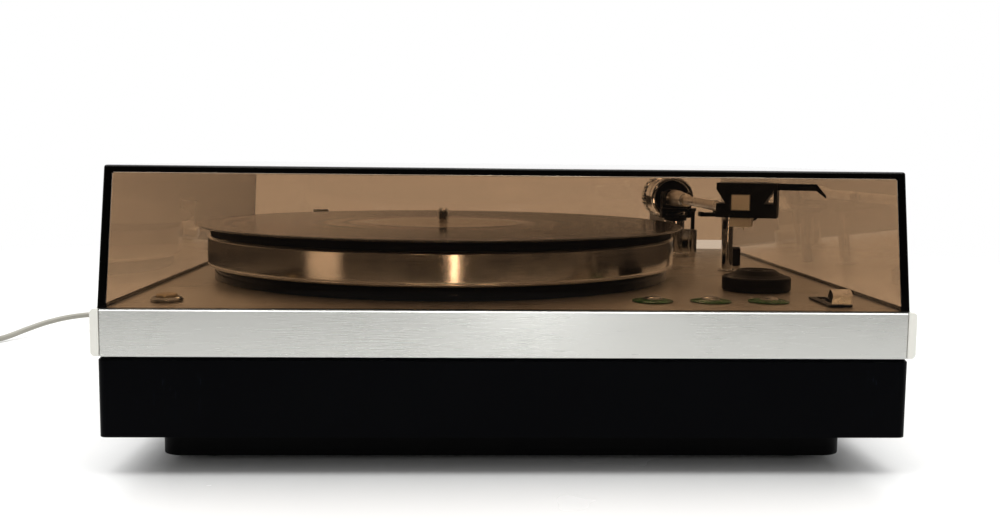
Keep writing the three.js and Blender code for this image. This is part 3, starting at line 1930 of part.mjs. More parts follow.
turntable.add(
  piece("plinth_shell", "blackPlastic", plinthShell()),
  piece("bottom_tray", "blackPlastic", bottomTray()),
  piece("deck_panel", "silver", deckPanel()),
  piece("side_strip_left", "paleTrim", sideStrip(-1)),
  piece("side_strip_right", "paleTrim", sideStrip(1)),
  piece("chassis_plate", "steel", chassisPlate()),
  piece("circuit_board", "board", circuitBoard()),
  piece("hinge_bracket_left", "steel", hingeBracket(-hingeX)),
  piece("hinge_bracket_right", "steel", hingeBracket(hingeX)),
);

const footX = bodyWidth / 2 - trayInset - footInset;
const footY = bodyDepth / 2 - trayInset - footInset;
for (const [row, signY] of [["front", -1], ["rear", 1]]) {
  for (const [side, signX] of [["left", -1], ["right", 1]]) {
    group(signX * footX, signY * footY, 0).add(piece(`foot_${row}_${side}`, "rubber", foot()));
  }
}

turntable.add(
  piece("dust_cover", "smoke", dustCover()),
  piece("cover_ear_left", "steel", coverEar(-hingeX)),
  piece("cover_ear_right", "steel", coverEar(hingeX)),
);

group(spindleX, spindleY, deckTop).add(
  piece("bearing_housing", "brass", bearingHousing()),
  piece("bearing_ball", "steel", bearingBall()),
  piece("spindle", "chrome", spindle()),
  piece("sub_platter", "blackPlastic", subPlatter()),
  piece("platter_ring", "glossBlack", platterRing()),
  piece("platter", "polished", platter()),
  piece("platter_mat", "rubber", platterMat()),
  piece("record_disc", "vinyl", recordDisc()),
  piece("drive_belt", "rubber", driveBelt()),
);

const [motorX, motorY] = motorPlace();
group(motorX, motorY, deckTop).add(
  piece("motor_body", "steel", motorBody()),
  piece("motor_pulley", "brass", motorPulley()),
);

const arm = group(pivotX, pivotY, pivotZ);
arm.add(
  piece("arm_column", "chrome", armColumn()),
  piece("arm_yoke", "blackPlastic", armYoke()),
  piece("shutter_vane", "blackPlastic", shutterVane()),
  piece("sensor_block", "blackPlastic", sensorBlock()),
  piece("arm_tube", "polished", armTube()),
  piece("balance_stub", "steel", balanceStub()),
  piece("balance_sleeve", "blackPlastic", balanceSleeve()),
  piece("counterweight", "chrome", counterweight()),
  piece("lift_bar", "blackPlastic", liftBar()),
);

const shell = group(-stylusAside, -armReach, 0, arm);
shell.rotation.z = -radians(offsetAngle);
shell.add(
  piece("headshell", "blackPlastic", headshell()),
  piece("cartridge", "cream", cartridge()),
  piece("stylus_holder", "cream", stylusHolder()),
);

group(restX, restY, deckTop).add(
  piece("arm_rest_post", "chrome", armRestPost()),
  piece("arm_rest_cradle", "blackPlastic", armRestCradle()),
);

group(skateX, skateY, deckTop).add(
  piece("anti_skate_slider", "blackPlastic", skateSlider()),
);

const keyNames = ["speed_33", "speed_45", "stop"];
keyNames.forEach((name, index) => {
  group(keyFirstX + index * keyPitch, frontY + keyFromFront, deckTop).add(
    piece(`${name}_ring`, "lens", keyRing()),
    piece(`${name}_key`, "chrome", key()),
  );
});

group(powerX, frontY + powerFromFront, deckTop).add(
  piece("power_bezel", "chrome", powerBezel()),
  piece("power_button", "brass", powerButton()),
  piece("power_switch", "blackPlastic", powerSwitch()),
);

const cue = group(cueX, frontY + cueFromFront, deckTop);
cue.add(piece("cue_plate", "blackPlastic", cuePlateWithCheeks()));
const cuePivot = group(0, 0, -cuePivotDepth, cue);
cuePivot.rotation.x = radians(cueTilt / 2);
cuePivot.add(piece("cue_lever", "silver", cueLever()));

group(adaptorX, frontY + adaptorFromFront, deckTop).add(
  piece("record_adaptor", "rubber", adaptor()),
);

group(transformerX, transformerY, 0).add(
  piece("transformer", "winding", transformer()),
);

const coil = coilPath();
group(leadX, 0, leadHeight).add(piece("strain_relief", "greyLead", strainRelief()));
group(glandX, 0, leadHeight).add(piece("signal_gland", "rubber", signalGland()));
turntable.add(
  piece("mains_lead", "greyLead", mainsLead()),
  piece("lead_coil", "greyLead", woundTube(coil.points, leadDiameter / 2, coilSides)),
  piece("mains_plug", "greyLead", mainsPlug(coil.tip, coil.away)),
);
console.log(`lead_coil: least gap to itself ${leastGap(coil.points, leadDiameter).toFixed(2)} mm`);

export default turntable;
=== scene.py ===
"""Turntable with a smoked dust cover: the smooth pieces, the lead and every finish."""

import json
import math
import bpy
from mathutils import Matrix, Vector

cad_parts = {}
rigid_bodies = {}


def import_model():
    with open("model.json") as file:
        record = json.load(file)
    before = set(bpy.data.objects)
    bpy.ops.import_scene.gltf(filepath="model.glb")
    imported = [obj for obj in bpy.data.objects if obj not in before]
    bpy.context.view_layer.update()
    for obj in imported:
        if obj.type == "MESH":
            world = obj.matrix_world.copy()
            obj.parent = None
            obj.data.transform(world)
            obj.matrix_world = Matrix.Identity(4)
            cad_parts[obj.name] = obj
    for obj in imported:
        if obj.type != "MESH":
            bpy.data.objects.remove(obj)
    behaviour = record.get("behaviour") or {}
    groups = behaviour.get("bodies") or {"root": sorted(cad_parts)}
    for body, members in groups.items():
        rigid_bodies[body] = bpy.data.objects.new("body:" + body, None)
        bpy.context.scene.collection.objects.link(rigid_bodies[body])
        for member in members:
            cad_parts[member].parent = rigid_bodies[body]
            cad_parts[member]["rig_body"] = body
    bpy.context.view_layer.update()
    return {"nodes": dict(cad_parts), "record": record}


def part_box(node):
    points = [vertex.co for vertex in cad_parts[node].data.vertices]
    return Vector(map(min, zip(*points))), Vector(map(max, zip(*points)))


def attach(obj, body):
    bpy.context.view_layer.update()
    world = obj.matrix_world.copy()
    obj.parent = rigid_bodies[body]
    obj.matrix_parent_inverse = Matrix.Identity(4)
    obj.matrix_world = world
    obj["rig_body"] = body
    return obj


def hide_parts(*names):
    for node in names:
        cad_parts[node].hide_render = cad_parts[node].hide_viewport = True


bl_info = {
    "name": "Turntable",
    "version": (1, 0, 0),
    "blender": (4, 5, 0),
    "location": "3D View > Sidebar > Turntable",
    "description": "Models the visible pieces of a belt-drive turntable and finishes all of its parts",
    "category": "Object",
}

import bpy
from mathutils import Matrix, Vector

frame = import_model()

MM = 0.001
NODES = frame["nodes"]
SLOTS = {part["node"]: part["material_slot"] for part in frame["record"]["subparts"]}


def mm(*lengths):
    """Lengths in millimetres as a vector in metres."""
    return Vector([length * MM for length in lengths])


def middle(node):
    """The middle of a node's box."""
    low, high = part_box(node)
    return (low + high) / 2


def heights(node):
    """A node's lowest and highest points in mm."""
    low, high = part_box(node)
    return low.z / MM, high.z / MM


# Places that several pieces share. Heights by themselves are in mm.
DECK_TOP = 82.0
ON_DECK = DECK_TOP + 0.3
SPINDLE = middle("platter")
PIVOT = mm(139.5, 112.5, 125.9)
UPRIGHT_TO_BACK = Matrix.Rotation(math.radians(-90), 4, "X")
UPRIGHT_TO_SIDE = Matrix.Rotation(math.radians(90), 4, "Y")
ALONG_ARM = Matrix.Translation(PIVOT) @ UPRIGHT_TO_BACK
ACROSS_ARM = Matrix.Translation(PIVOT) @ UPRIGHT_TO_SIDE
STANDING_SIDEWAYS = Matrix(((0, 0, 1, 0), (1, 0, 0, 0), (0, 1, 0, 0), (0, 0, 0, 1)))


def reach(node):
    """How far a node on the spindle reaches from its axis, in mm."""
    return (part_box(node)[1].x - SPINDLE.x) / MM


def from_pivot(height):
    """A height in mm, measured from the arm's pivot."""
    return height - PIVOT.z / MM


def on_circle(radius, angle):
    """The point of a circle round the origin at an angle."""
    return radius * math.cos(angle), radius * math.sin(angle)


# The lead's route in mm, from the strain relief to the start of its coil
LEAD_ROUTE = [
    (-135, 218.1, 30),
    (-135.4, 227, 29.612),
    (-140, 238, 28.393),
    (-152, 246.8, 26.593),
    (-172, 250.8, 24.405),
    (-200, 250.4, 21.995),
    (-235, 247.5, 19.806),
    (-270, 244, 18.2),
    (-305, 241, 17.009),
    (-335, 238.6, 16.011),
    (-358, 234, 14.599),
    (-376, 224.5, 11.413),
    (-389, 210, 7.397),
    (-398, 193, 3.99),
    (-404.5, 176, 2.799),
    (-409, 160, 2.494),
    (-411.6, 150, 2.411),
]


# What a user would change


def number(name, description, default, **settings):
    return bpy.props.FloatProperty(name=name, description=description, default=default, **settings)


def length(name, description, default):
    return number(name, description, default, unit="LENGTH", precision=4)


def count(name, description, default):
    return bpy.props.IntProperty(name=name, description=description, default=default)


def colour(name, red, green, blue):
    return bpy.props.FloatVectorProperty(
        name=name,
        description=f"Colour of the {name.lower()}",
        default=(red, green, blue),
        subtype="COLOR",
        size=3,
        min=0,
        max=1,
    )


class StudioSettings(bpy.types.PropertyGroup):
    lens: number("Lens", "Focal length on a 36 mm frame, in mm", 38.39)
    stand: bpy.props.FloatVectorProperty(
        name="Camera",
        description="Where the camera stands",
        default=(-0.0229, -0.6960, 0.1555),
        subtype="TRANSLATION",
    )
    down: number("Down", "How far the camera looks down", 0.101, unit="ROTATION")
    aside: number("Aside", "How far the camera looks right", 0.036, unit="ROTATION")
    lean: number("Lean", "How far the camera leans", 0.010, unit="ROTATION")
    overhead: number("Overhead", "Power of the lamp overhead, in watts", 44.0)
    fill: number("Fill", "Strength of the light from all round", 0.62)


class LeadSettings(bpy.types.PropertyGroup):
    thickness: length("Thickness", "Diameter of the lead", 0.0046)
    coil_radius: length("Coil", "Radius of the coil's middle turns", 0.0288)
    gap: length("Gap", "Free space between neighbouring turns", 0.0006)
    turns: count("Turns", "Turns in the coil", 6)
    tail: length("Tail", "Straight end between coil and plug", 0.036)


class CoverSettings(bpy.types.PropertyGroup):
    draft: length("Draft", "How far each wall leans in from bottom to top", 0.0039)
    wall: length("Wall", "Thickness of the acrylic", 0.0035)
    corner: length("Corner", "Radius of the upright corners", 0.0015)
    edge: length("Edge", "Radius of the edge round the top", 0.0012)
    # The band is painted shade: a near-black strip where the acrylic, seen edge on, looks dark from
    # how light bends in it.
    band: length("Band", "Width of the dark band along the edges", 0.0019)


class PlatterSettings(bpy.types.PropertyGroup):
    sides: count("Sides", "Sides of the turned discs", 192)
    label: length("Label", "Radius of the record's label", 0.050)
    bands: count("Bands", "Bands of grooves", 5)
    ribs: count("Ribs", "Ribs on the mat", 22)


class ArmSettings(bpy.types.PropertyGroup):
    tube: length("Tube", "Radius of the tube", 0.0031)
    collar: length("Collar", "Radius of the collar in front of the taper", 0.0046)
    weight: length("Weight", "Radius of the counterweight", 0.0165)
    teeth: count("Teeth", "Teeth of the knurled ring", 32)


class FinishColours(bpy.types.PropertyGroup):
    plinth_black: colour("Plinth", 0.0006, 0.0007, 0.0012)
    tray_black: colour("Tray", 0.0012, 0.0012, 0.0014)
    rubber_black: colour("Rubber", 0.0040, 0.0036, 0.0032)
    deck_silver: colour("Deck", 0.66, 0.66, 0.63)
    trim_pale: colour("Side strips", 0.78, 0.77, 0.71)
    ring_gloss: colour("Ring under the platter", 0.0012, 0.0010, 0.0010)
    zinc_plate: colour("Plated steel", 0.52, 0.53, 0.53)
    bearing_brass: colour("Brass", 0.62, 0.52, 0.36)
    ball_steel: colour("Ball", 0.62, 0.62, 0.62)
    cover_smoke: colour("Smoked acrylic", 0.60, 0.47, 0.35)
    # Painted shade: near-black for acrylic seen edge on, which looks dark from how light bends in it,
    # not from its colour.
    cover_edge: colour("Acrylic seen edge on", 0.0010, 0.0008, 0.0006)
    platter_aluminium: colour("Platter", 0.76, 0.74, 0.70)
    hub_black: colour("Sub-platter", 0.022, 0.022, 0.024)
    mat_rubber: colour("Mat", 0.0030, 0.0028, 0.0028)
    vinyl: colour("Record", 0.010, 0.009, 0.009)
    label_grey: colour("Record's bare label", 0.24, 0.23, 0.21)
    chrome: colour("Chrome", 0.78, 0.77, 0.75)
    arm_metal: colour("Arm tube", 0.62, 0.59, 0.54)
    arm_black: colour("Black of the arm", 0.0030, 0.0028, 0.0026)
    cream_plastic: colour("Cartridge", 0.66, 0.62, 0.52)
    lens_green: colour("Key rings", 0.016, 0.075, 0.010)
    key_chrome: colour("Keys", 0.42, 0.41, 0.38)
    lever_silver: colour("Lever", 0.88, 0.87, 0.83)
    board_green: colour("Circuit board", 0.03, 0.12, 0.04)
    winding: colour("Windings", 0.38, 0.17, 0.07)
    lead_grey: colour("Lead", 0.27, 0.26, 0.22)


# Modelling tools


def only(piece=None):
    """Leaves edit mode with nothing, or this one piece, selected."""
    if bpy.context.object and bpy.context.object.mode != "OBJECT":
        bpy.ops.object.mode_set(mode="OBJECT")
    bpy.ops.object.select_all(action="DESELECT")
    if piece:
        piece.select_set(True)
        bpy.context.view_layer.objects.active = piece


def named(piece, name):
    piece.name = piece.data.name = name
    return piece


def traced(name, points):
    """A chain of edges through points, left in edit mode with all of it selected."""
    only()
    bpy.ops.mesh.primitive_plane_add(size=MM)
    piece = named(bpy.context.object, name)
    bpy.ops.object.mode_set(mode="EDIT")
    bpy.ops.mesh.select_mode(type="VERT")
    bpy.ops.mesh.select_all(action="SELECT")
    bpy.ops.mesh.merge(type="CENTER")
    bpy.ops.transform.translate(value=points[0])
    for before, after in zip(points, points[1:]):
        bpy.ops.mesh.extrude_region_move(TRANSFORM_OT_translate={"value": after - before})
    bpy.ops.mesh.select_all(action="SELECT")
    return piece


def closed():
    """Merges doubles, turns the faces outwards and leaves edit mode."""
    bpy.ops.mesh.select_all(action="SELECT")
    bpy.ops.mesh.remove_doubles(threshold=MM * MM)
    bpy.ops.mesh.normals_make_consistent(inside=False)
    bpy.ops.object.mode_set(mode="OBJECT")


def rounded(piece, width, segments=2):
    """Rounds a piece's sharp edges, by a width in mm."""
    only(piece)
    edge = piece.modifiers.new("rounding", "BEVEL")
    edge.width = width * MM
    edge.segments = segments
    edge.limit_method = "ANGLE"
    edge.angle_limit = math.radians(30)
    bpy.ops.object.modifier_apply(modifier=edge.name)
    return piece


def turned(name, profile, centre=(0, 0), sides=96, rounding=0.0):
    """Turns a profile of radii and heights in mm about an upright axis through centre."""
    x, y = centre[0], centre[1]
    piece = traced(name, [Vector((x + r * MM, y, z * MM)) for r, z in profile])
    bpy.ops.mesh.spin(steps=sides, angle=math.tau, center=(x, y, 0), axis=(0, 0, 1))
    closed()
    return rounded(piece, rounding, 3) if rounding else piece


def plate(name, outline, low, high, rounding=0.0):
    """Raises an outline of points in mm from one height to another."""
    points = [mm(x, y, low) for x, y in outline]
    piece = traced(name, [*points, points[0]])
    bpy.ops.mesh.remove_doubles(threshold=MM * MM)
    bpy.ops.mesh.edge_face_add()
    bpy.ops.mesh.extrude_region_move(TRANSFORM_OT_translate={"value": mm(0, 0, high - low)})
    closed()
    return rounded(piece, rounding) if rounding else piece


def block(name, low, high, rounding=0.0):
    """A block between two corners, with rounded edges."""
    low, high = Vector(low), Vector(high)
    only()
    bpy.ops.mesh.primitive_cube_add(size=1, location=(low + high) / 2, scale=high - low)
    piece = named(bpy.context.object, name)
    bpy.ops.object.transform_apply(location=True, rotation=True, scale=True)
    return rounded(piece, rounding) if rounding else piece


def moved(piece, matrix):
    """Places a piece by a matrix that ends up in its mesh."""
    only(piece)
    piece.matrix_world = matrix
    bpy.ops.object.transform_apply(location=True, rotation=True, scale=True)
    return piece


def combined(piece, tool, kind="DIFFERENCE"):
    """Cuts the tool from a piece, or unites them, and uses the tool up."""
    only(piece)
    step = piece.modifiers.new("combination", "BOOLEAN")
    step.operation = kind
    step.solver = "EXACT"
    step.object = tool
    bpy.ops.object.modifier_apply(modifier=step.name)
    bpy.data.objects.remove(tool)
    return piece


def joined(name, *parts):
    """Makes separate shells one piece."""
    only()
    for part in parts:
        part.select_set(True)
    bpy.context.view_layer.objects.active = parts[0]
    bpy.ops.object.join()
    return named(parts[0], name)


def refined(name, node, rounding=0.3, segments=2):
    """A copy of a node with its triangles merged into faces and its edges rounded."""
    piece = bpy.data.objects.new(name, NODES[node].data.copy())
    piece.data.name = name
    bpy.context.scene.collection.objects.link(piece)
    only(piece)
    bpy.ops.mesh.customdata_custom_splitnormals_clear()
    bpy.ops.object.mode_set(mode="EDIT")
    bpy.ops.mesh.select_all(action="SELECT")
    bpy.ops.mesh.remove_doubles(threshold=MM * MM)
    bpy.ops.mesh.dissolve_limited(angle_limit=math.radians(0.6))
    bpy.ops.object.mode_set(mode="OBJECT")
    return rounded(piece, rounding, segments)


def copied(piece, name, shift):
    """A copy with a mesh of its own, moved by shift."""
    twin = piece.copy()
    twin.data = piece.data.copy()
    bpy.context.scene.collection.objects.link(twin)
    return moved(named(twin, name), Matrix.Translation(shift))


def smoothed(piece, angle=30):
    """Shades a piece smooth up to an angle, with its flat faces kept flat."""
    only(piece)
    bpy.ops.object.shade_smooth_by_angle(angle=math.radians(angle))
    shading = piece.modifiers.new("flat faces", "WEIGHTED_NORMAL")
    shading.keep_sharp = True
    bpy.ops.object.modifier_apply(modifier=shading.name)
    return piece


def dress(piece, *nodes, angle=30, parts=()):
    """Smooths a piece, finishes it as its first node and lets it ride in place of its nodes.

    parts holds pairs of another finish and a test on a face's middle.
    """
    smoothed(piece, angle)
    piece.data.materials.clear()
    piece.data.materials.append(finish(SLOTS[nodes[0]]))
    for face in piece.data.polygons:
        face.material_index = 0
    for index, (other, test) in enumerate(parts, start=1):
        piece.data.materials.append(finish(other))
        for face in piece.data.polygons:
            if test(face.center):
                face.material_index = index
    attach(piece, NODES[nodes[0]]["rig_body"])
    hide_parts(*nodes)
    return piece


def softened(name, node, *rounding):
    """Puts a copy of a node, with its edges rounded, in the node's place."""
    return dress(refined(name, node, *rounding), node)


# Finishes. Sizes of patterns are in mm.


def add(tree, kind, inputs, **settings):
    """Adds a shader node, with each input linked or set."""
    made = tree.nodes.new(kind)
    for setting, value in settings.items():
        setattr(made, setting, value)
    for socket, value in inputs.items():
        if isinstance(value, bpy.types.NodeSocket):
            tree.links.new(value, made.inputs[socket])
        else:
            made.inputs[socket].default_value = value
    return made


def maths(tree, kind, *values):
    return add(tree, "ShaderNodeMath", dict(enumerate(values)), operation=kind).outputs[0]


def vector_maths(tree, kind, *vectors):
    made = add(tree, "ShaderNodeVectorMath", dict(enumerate(vectors)), operation=kind)
    return made.outputs["Value" if kind in ("LENGTH", "DOT_PRODUCT") else "Vector"]


def grey(value):
    return (value, value, value, 1)


def blended(tree, factor, first, second):
    return add(tree, "ShaderNodeMix", {0: factor, 6: first, 7: second}, data_type="RGBA").outputs[2]


def noise(tree, place, size, detail=4.0):
    inputs = {"Vector": place, "Scale": 1 / (size * MM), "Detail": detail, "Roughness": 0.6}
    return add(tree, "ShaderNodeTexNoise", inputs).outputs["Fac"]


def spread_out(tree, value, low, high, start=0.35, end=0.65):
    """Low up to a start, high from an end, and even in between."""
    inputs = {0: value, 1: start, 2: end, 3: low, 4: high}
    return add(tree, "ShaderNodeMapRange", inputs).outputs[0]


def painted(name, tone, rough, metal=0.0, extra=None):
    """A new material with its tree, shader and place, and what is the same all over already set."""
    material = bpy.data.materials.new(name)
    material.use_nodes = True
    tree = material.node_tree
    shader = tree.nodes["Principled BSDF"]
    shader.inputs["Base Color"].default_value = (*tone, 1)
    shader.inputs["Roughness"].default_value = rough
    shader.inputs["Metallic"].default_value = metal
    for socket, value in (extra or {}).items():
        shader.inputs[socket].default_value = value
    return material, tree, shader, add(tree, "ShaderNodeTexCoord", {}).outputs["Object"]


def vary_shader(tree, shader, colours=None, roughness=None, relief=None):
    """Links what varies over a piece: its colour, its roughness and a relief.

    relief holds the height, its strength and its depth in mm.
    """
    if colours:
        tree.links.new(colours, shader.inputs["Base Color"])
    if roughness:
        tree.links.new(roughness, shader.inputs["Roughness"])
    if relief:
        height, strength, depth = relief
        inputs = {"Height": height, "Strength": strength, "Distance": depth * MM}
        tree.links.new(add(tree, "ShaderNodeBump", inputs).outputs[0], shader.inputs["Normal"])


def mixed_out(tree, share, first, second):
    """Sends two shaders to the material's output, the second with this share."""
    inputs = {0: share, 1: first.outputs[0], 2: second.outputs[0]}
    both = add(tree, "ShaderNodeMixShader", inputs).outputs[0]
    tree.links.new(both, tree.nodes["Material Output"].inputs["Surface"])


def around(tree, place, centre, axis):
    """Distance from an axis and height along it, as a vector."""
    about = vector_maths(tree, "SUBTRACT", place, centre)
    flat = vector_maths(tree, "MULTIPLY", about, Vector((1, 1, 1)) - Vector(axis))
    radius = vector_maths(tree, "LENGTH", flat)
    height = vector_maths(tree, "DOT_PRODUCT", about, axis)
    return add(tree, "ShaderNodeCombineXYZ", {"X": radius, "Y": height}).outputs[0]


def surface(
    name, tone, rough, metal=0.0, vary=0.1, patch=18.0, spread=0.06, grain=0.5, bump=0.15,
    depth=0.02, stretch=(1, 1, 1), rings=None, shine=0.5,
):
    """A finish with clouded colour, uneven gloss and a fine grain.

    stretch draws the grain out into brushing, and rings, a centre and an axis, into turning marks.
    """
    extra = {"Specular IOR Level": shine}
    material, tree, shader, place = painted(name, tone, rough, metal, extra)
    if rings:
        drawn = around(tree, place, *rings)
    else:
        drawn = add(tree, "ShaderNodeMapping", {"Vector": place, "Scale": stretch}).outputs[0]
    clouds = noise(tree, place, patch)
    fine = noise(tree, drawn, grain, 3.0)
    both = maths(tree, "ADD", clouds, fine)
    dark = (*[part * (1 - vary) for part in tone], 1)
    light = (*[min(part * (1 + vary), 1) for part in tone], 1)
    colours = blended(tree, spread_out(tree, both, 0.0, 1.0, 0.7, 1.3), dark, light)
    gloss = spread_out(tree, both, max(rough - spread, 0.02), min(rough + spread, 1.0), 0.7, 1.3)
    vary_shader(tree, shader, colours, gloss, (fine, bump, depth))
    return material


def scuffed_plinth(name, tone):
    """Satin black with hairline scuffs that catch a bluish light."""
    material, tree, shader, place = painted(name, tone, 0.34, extra={"Specular IOR Level": 0.03})
    inputs = {"Vector": place, "Scale": (1.0, 1.0, 0.12), "Rotation": (0, math.radians(24), 0)}
    hairs = noise(tree, add(tree, "ShaderNodeMapping", inputs).outputs[0], 0.9, 2.0)
    line = spread_out(tree, hairs, 0.0, 1.0, 0.66, 0.80)
    spot = spread_out(tree, noise(tree, place, 42, 3.0), 0.0, 1.0, 0.52, 0.72)
    pale = (0.008, 0.011, 0.018, 1)
    colours = blended(tree, maths(tree, "MULTIPLY", line, spot), (*tone, 1), pale)
    gloss = spread_out(tree, noise(tree, place, 60), 0.28, 0.42)
    vary_shader(tree, shader, colours, gloss, (noise(tree, place, 0.35), 0.12, 0.02))
    return material


def smoked_acrylic(name, tone):
    """See-through brown acrylic that lets the lamps in, with faint smears in its polish."""
    extra = {"Transmission Weight": 1.0, "IOR": 1.49}
    material, tree, shader, place = painted(name, tone, 0.01, extra=extra)
    smears = noise(tree, place, 34, 5.0)
    vary_shader(tree, shader, roughness=spread_out(tree, smears, 0.0, 0.02, 0.5, 0.8))
    clear = add(tree, "ShaderNodeBsdfTransparent", {"Color": (*[p**0.85 for p in tone], 1)})
    path = add(tree, "ShaderNodeLightPath", {})
    mixed_out(tree, path.outputs["Is Shadow Ray"], shader, clear)
    return material


def pressed_vinyl(name, tone):
    """Black vinyl whose fine grooves and bands change its gloss from ring to ring."""
    material, tree, shader, place = painted(name, tone, 0.12, extra={"IOR": 1.54})
    ring = around(tree, place, SPINDLE, (0, 0, 1))
    loud = noise(tree, ring, 1.6, 2.0)
    grooves = spread_out(tree, loud, 0.09, 0.20)
    radius = add(tree, "ShaderNodeSeparateXYZ", {"Vector": ring}).outputs["X"]
    grooved = spread_out(tree, radius, 0.0, 1.0, 0.0585, 0.0595)
    gloss = add(tree, "ShaderNodeMix", {0: grooved, 2: 0.03, 3: grooves}).outputs[0]
    dark, light = (*[p * 0.6 for p in tone], 1), (*[p * 1.8 for p in tone], 1)
    colours = blended(tree, loud, dark, light)
    vary_shader(tree, shader, colours, gloss, (noise(tree, ring, 0.18, 1.0), 0.10, 0.01))
    return material


ABOUT_SPINDLE = (SPINDLE, (0, 0, 1))
ABOUT_ARM = (PIVOT, (0, 1, 0))

FINISHES = {
    "tray_black": dict(rough=0.62, patch=40, grain=0.7, bump=0.3, depth=0.05, shine=0.08),
    "rubber_black": dict(
        rough=0.45, vary=0.2, patch=9, grain=0.35, bump=0.25, depth=0.04, shine=0.2
    ),
    "deck_silver": dict(
        rough=0.28, metal=0.80, vary=0.02, patch=90, spread=0.015, grain=0.22, bump=0.01, depth=0.01,
        stretch=(0.012, 1, 1),
    ),
    "trim_pale": dict(rough=0.45, vary=0.03, patch=30, grain=0.3, bump=0.12),
    "ring_gloss": dict(
        rough=0.10, vary=0.3, patch=30, spread=0.03, grain=0.4, bump=0.03, rings=ABOUT_SPINDLE,
        shine=0.12,
    ),
    "zinc_plate": dict(rough=0.34, metal=1.0, vary=0.14, patch=5, grain=0.4),
    "bearing_brass": dict(rough=0.30, metal=1.0, vary=0.12, patch=6, grain=0.3, bump=0.08),
    "ball_steel": dict(rough=0.08, metal=1.0, vary=0.04, patch=3, spread=0.03, bump=0.02),
    # Painted shade along the cover's edges.
    "cover_edge": dict(
        rough=0.14, vary=0.2, patch=40, spread=0.05, grain=0.6, bump=0.03, shine=0.15
    ),
    "platter_aluminium": dict(
        rough=0.13, metal=1.0, vary=0.07, patch=22, spread=0.04, grain=0.35, bump=0.05, depth=0.01,
        rings=ABOUT_SPINDLE,
    ),
    "hub_black": dict(rough=0.5, patch=25, grain=0.5, rings=ABOUT_SPINDLE),
    "mat_rubber": dict(
        rough=0.68, vary=0.2, patch=25, grain=0.4, bump=0.3, depth=0.04, shine=0.12
    ),
    "label_grey": dict(rough=0.16, vary=0.06, patch=7, spread=0.05, grain=0.14, bump=0.03),
    "chrome": dict(
        rough=0.07, metal=1.0, vary=0.04, patch=9, spread=0.04, grain=0.5, bump=0.02
    ),
    "arm_metal": dict(
        rough=0.30, metal=0.9, vary=0.05, patch=14, grain=0.25, bump=0.06, rings=ABOUT_ARM
    ),
    "arm_black": dict(rough=0.30, vary=0.25, patch=9, grain=0.25, bump=0.12, shine=0.22),
    "cream_plastic": dict(rough=0.40, vary=0.05, patch=6, grain=0.3, bump=0.08),
    "lens_green": dict(rough=0.28, vary=0.45, patch=5, grain=0.4, bump=0.03, shine=0.2),
    "key_chrome": dict(
        rough=0.14, metal=1.0, vary=0.06, patch=3, spread=0.05, grain=0.3, bump=0.04
    ),
    "lever_silver": dict(
        rough=0.30, metal=0.9, vary=0.06, patch=5, grain=0.16, bump=0.10, depth=0.01,
        stretch=(1, 1, 0.04),
    ),
    "board_green": dict(rough=0.40, vary=0.35, patch=2.4, grain=0.3, bump=0.1),
    "winding": dict(
        rough=0.36, metal=0.5, vary=0.3, patch=6, grain=0.35, bump=0.4, depth=0.1,
        stretch=(0.05, 1, 1),
    ),
    "lead_grey": dict(rough=0.42, vary=0.05, patch=16, grain=0.5, bump=0.06),
}
SPECIAL_FINISHES = {
    "plinth_black": scuffed_plinth,
    "cover_smoke": smoked_acrylic,
    "vinyl": pressed_vinyl,
}


def finish(slot):
    """The finish of a slot, made at its first use."""
    name = f"finish_{slot}"
    made = bpy.data.materials.get(name)
    if made:
        return made
    tone = tuple(getattr(bpy.context.scene.turntable_colours, slot))
    if slot in SPECIAL_FINISHES:
        return SPECIAL_FINISHES[slot](name, tone)
    return surface(name, tone, **FINISHES[slot])


# The lead


def lead_points(settings):
    """The lead's points from the strain relief to the plug, and its direction there.

    The coil turns inwards on the floor and comes back outwards in a second layer.
    """
    route = [mm(*point) for point in LEAD_ROUTE]
    thickness, radius = settings.thickness, settings.coil_radius
    pitch = thickness + settings.gap
    layer = settings.turns / 2
    before, end = route[-2:]
    heading = (end - before).to_2d().normalized()
    outer = radius + pitch * (layer - 0.5) / 2
    start = end.to_2d() + heading * 0.3 * MM
    entry = start + heading * 2 * thickness
    centre = Vector((entry.x + heading.y * outer, entry.y - heading.x * outer))
    first = math.atan2(entry.y - centre.y, entry.x - centre.x)
    low = thickness / 2 + 0.01 * MM
    points = [Vector((start.x, start.y, low))]
    per_turn = 24
    for step in range(settings.turns * per_turn + 1):
        turns = step / per_turn
        inward, outward = min(turns, layer), max(turns - layer, 0)
        ring = outer - pitch * (inward - outward)
        rising = min(max((turns - layer) * 2 + 0.5, 0), 1)
        angle = first - math.tau * turns
        height = low + pitch * rising * rising * (3 - 2 * rising)
        points.append(
            Vector((centre.x + ring * math.cos(angle), centre.y + ring * math.sin(angle), height))
        )
    last = points[-1].copy()
    angle = first - math.tau * settings.turns
    away = Vector((math.sin(angle), -math.cos(angle), 0))
    rest = middle("mains_plug").z
    for share in (0.35, 0.7, 0.9, 1):
        point = last + away * settings.tail * share
        point.z = min(last.z, last.z + (rest - last.z) * share)
        points.append(point)
    return route + points, away


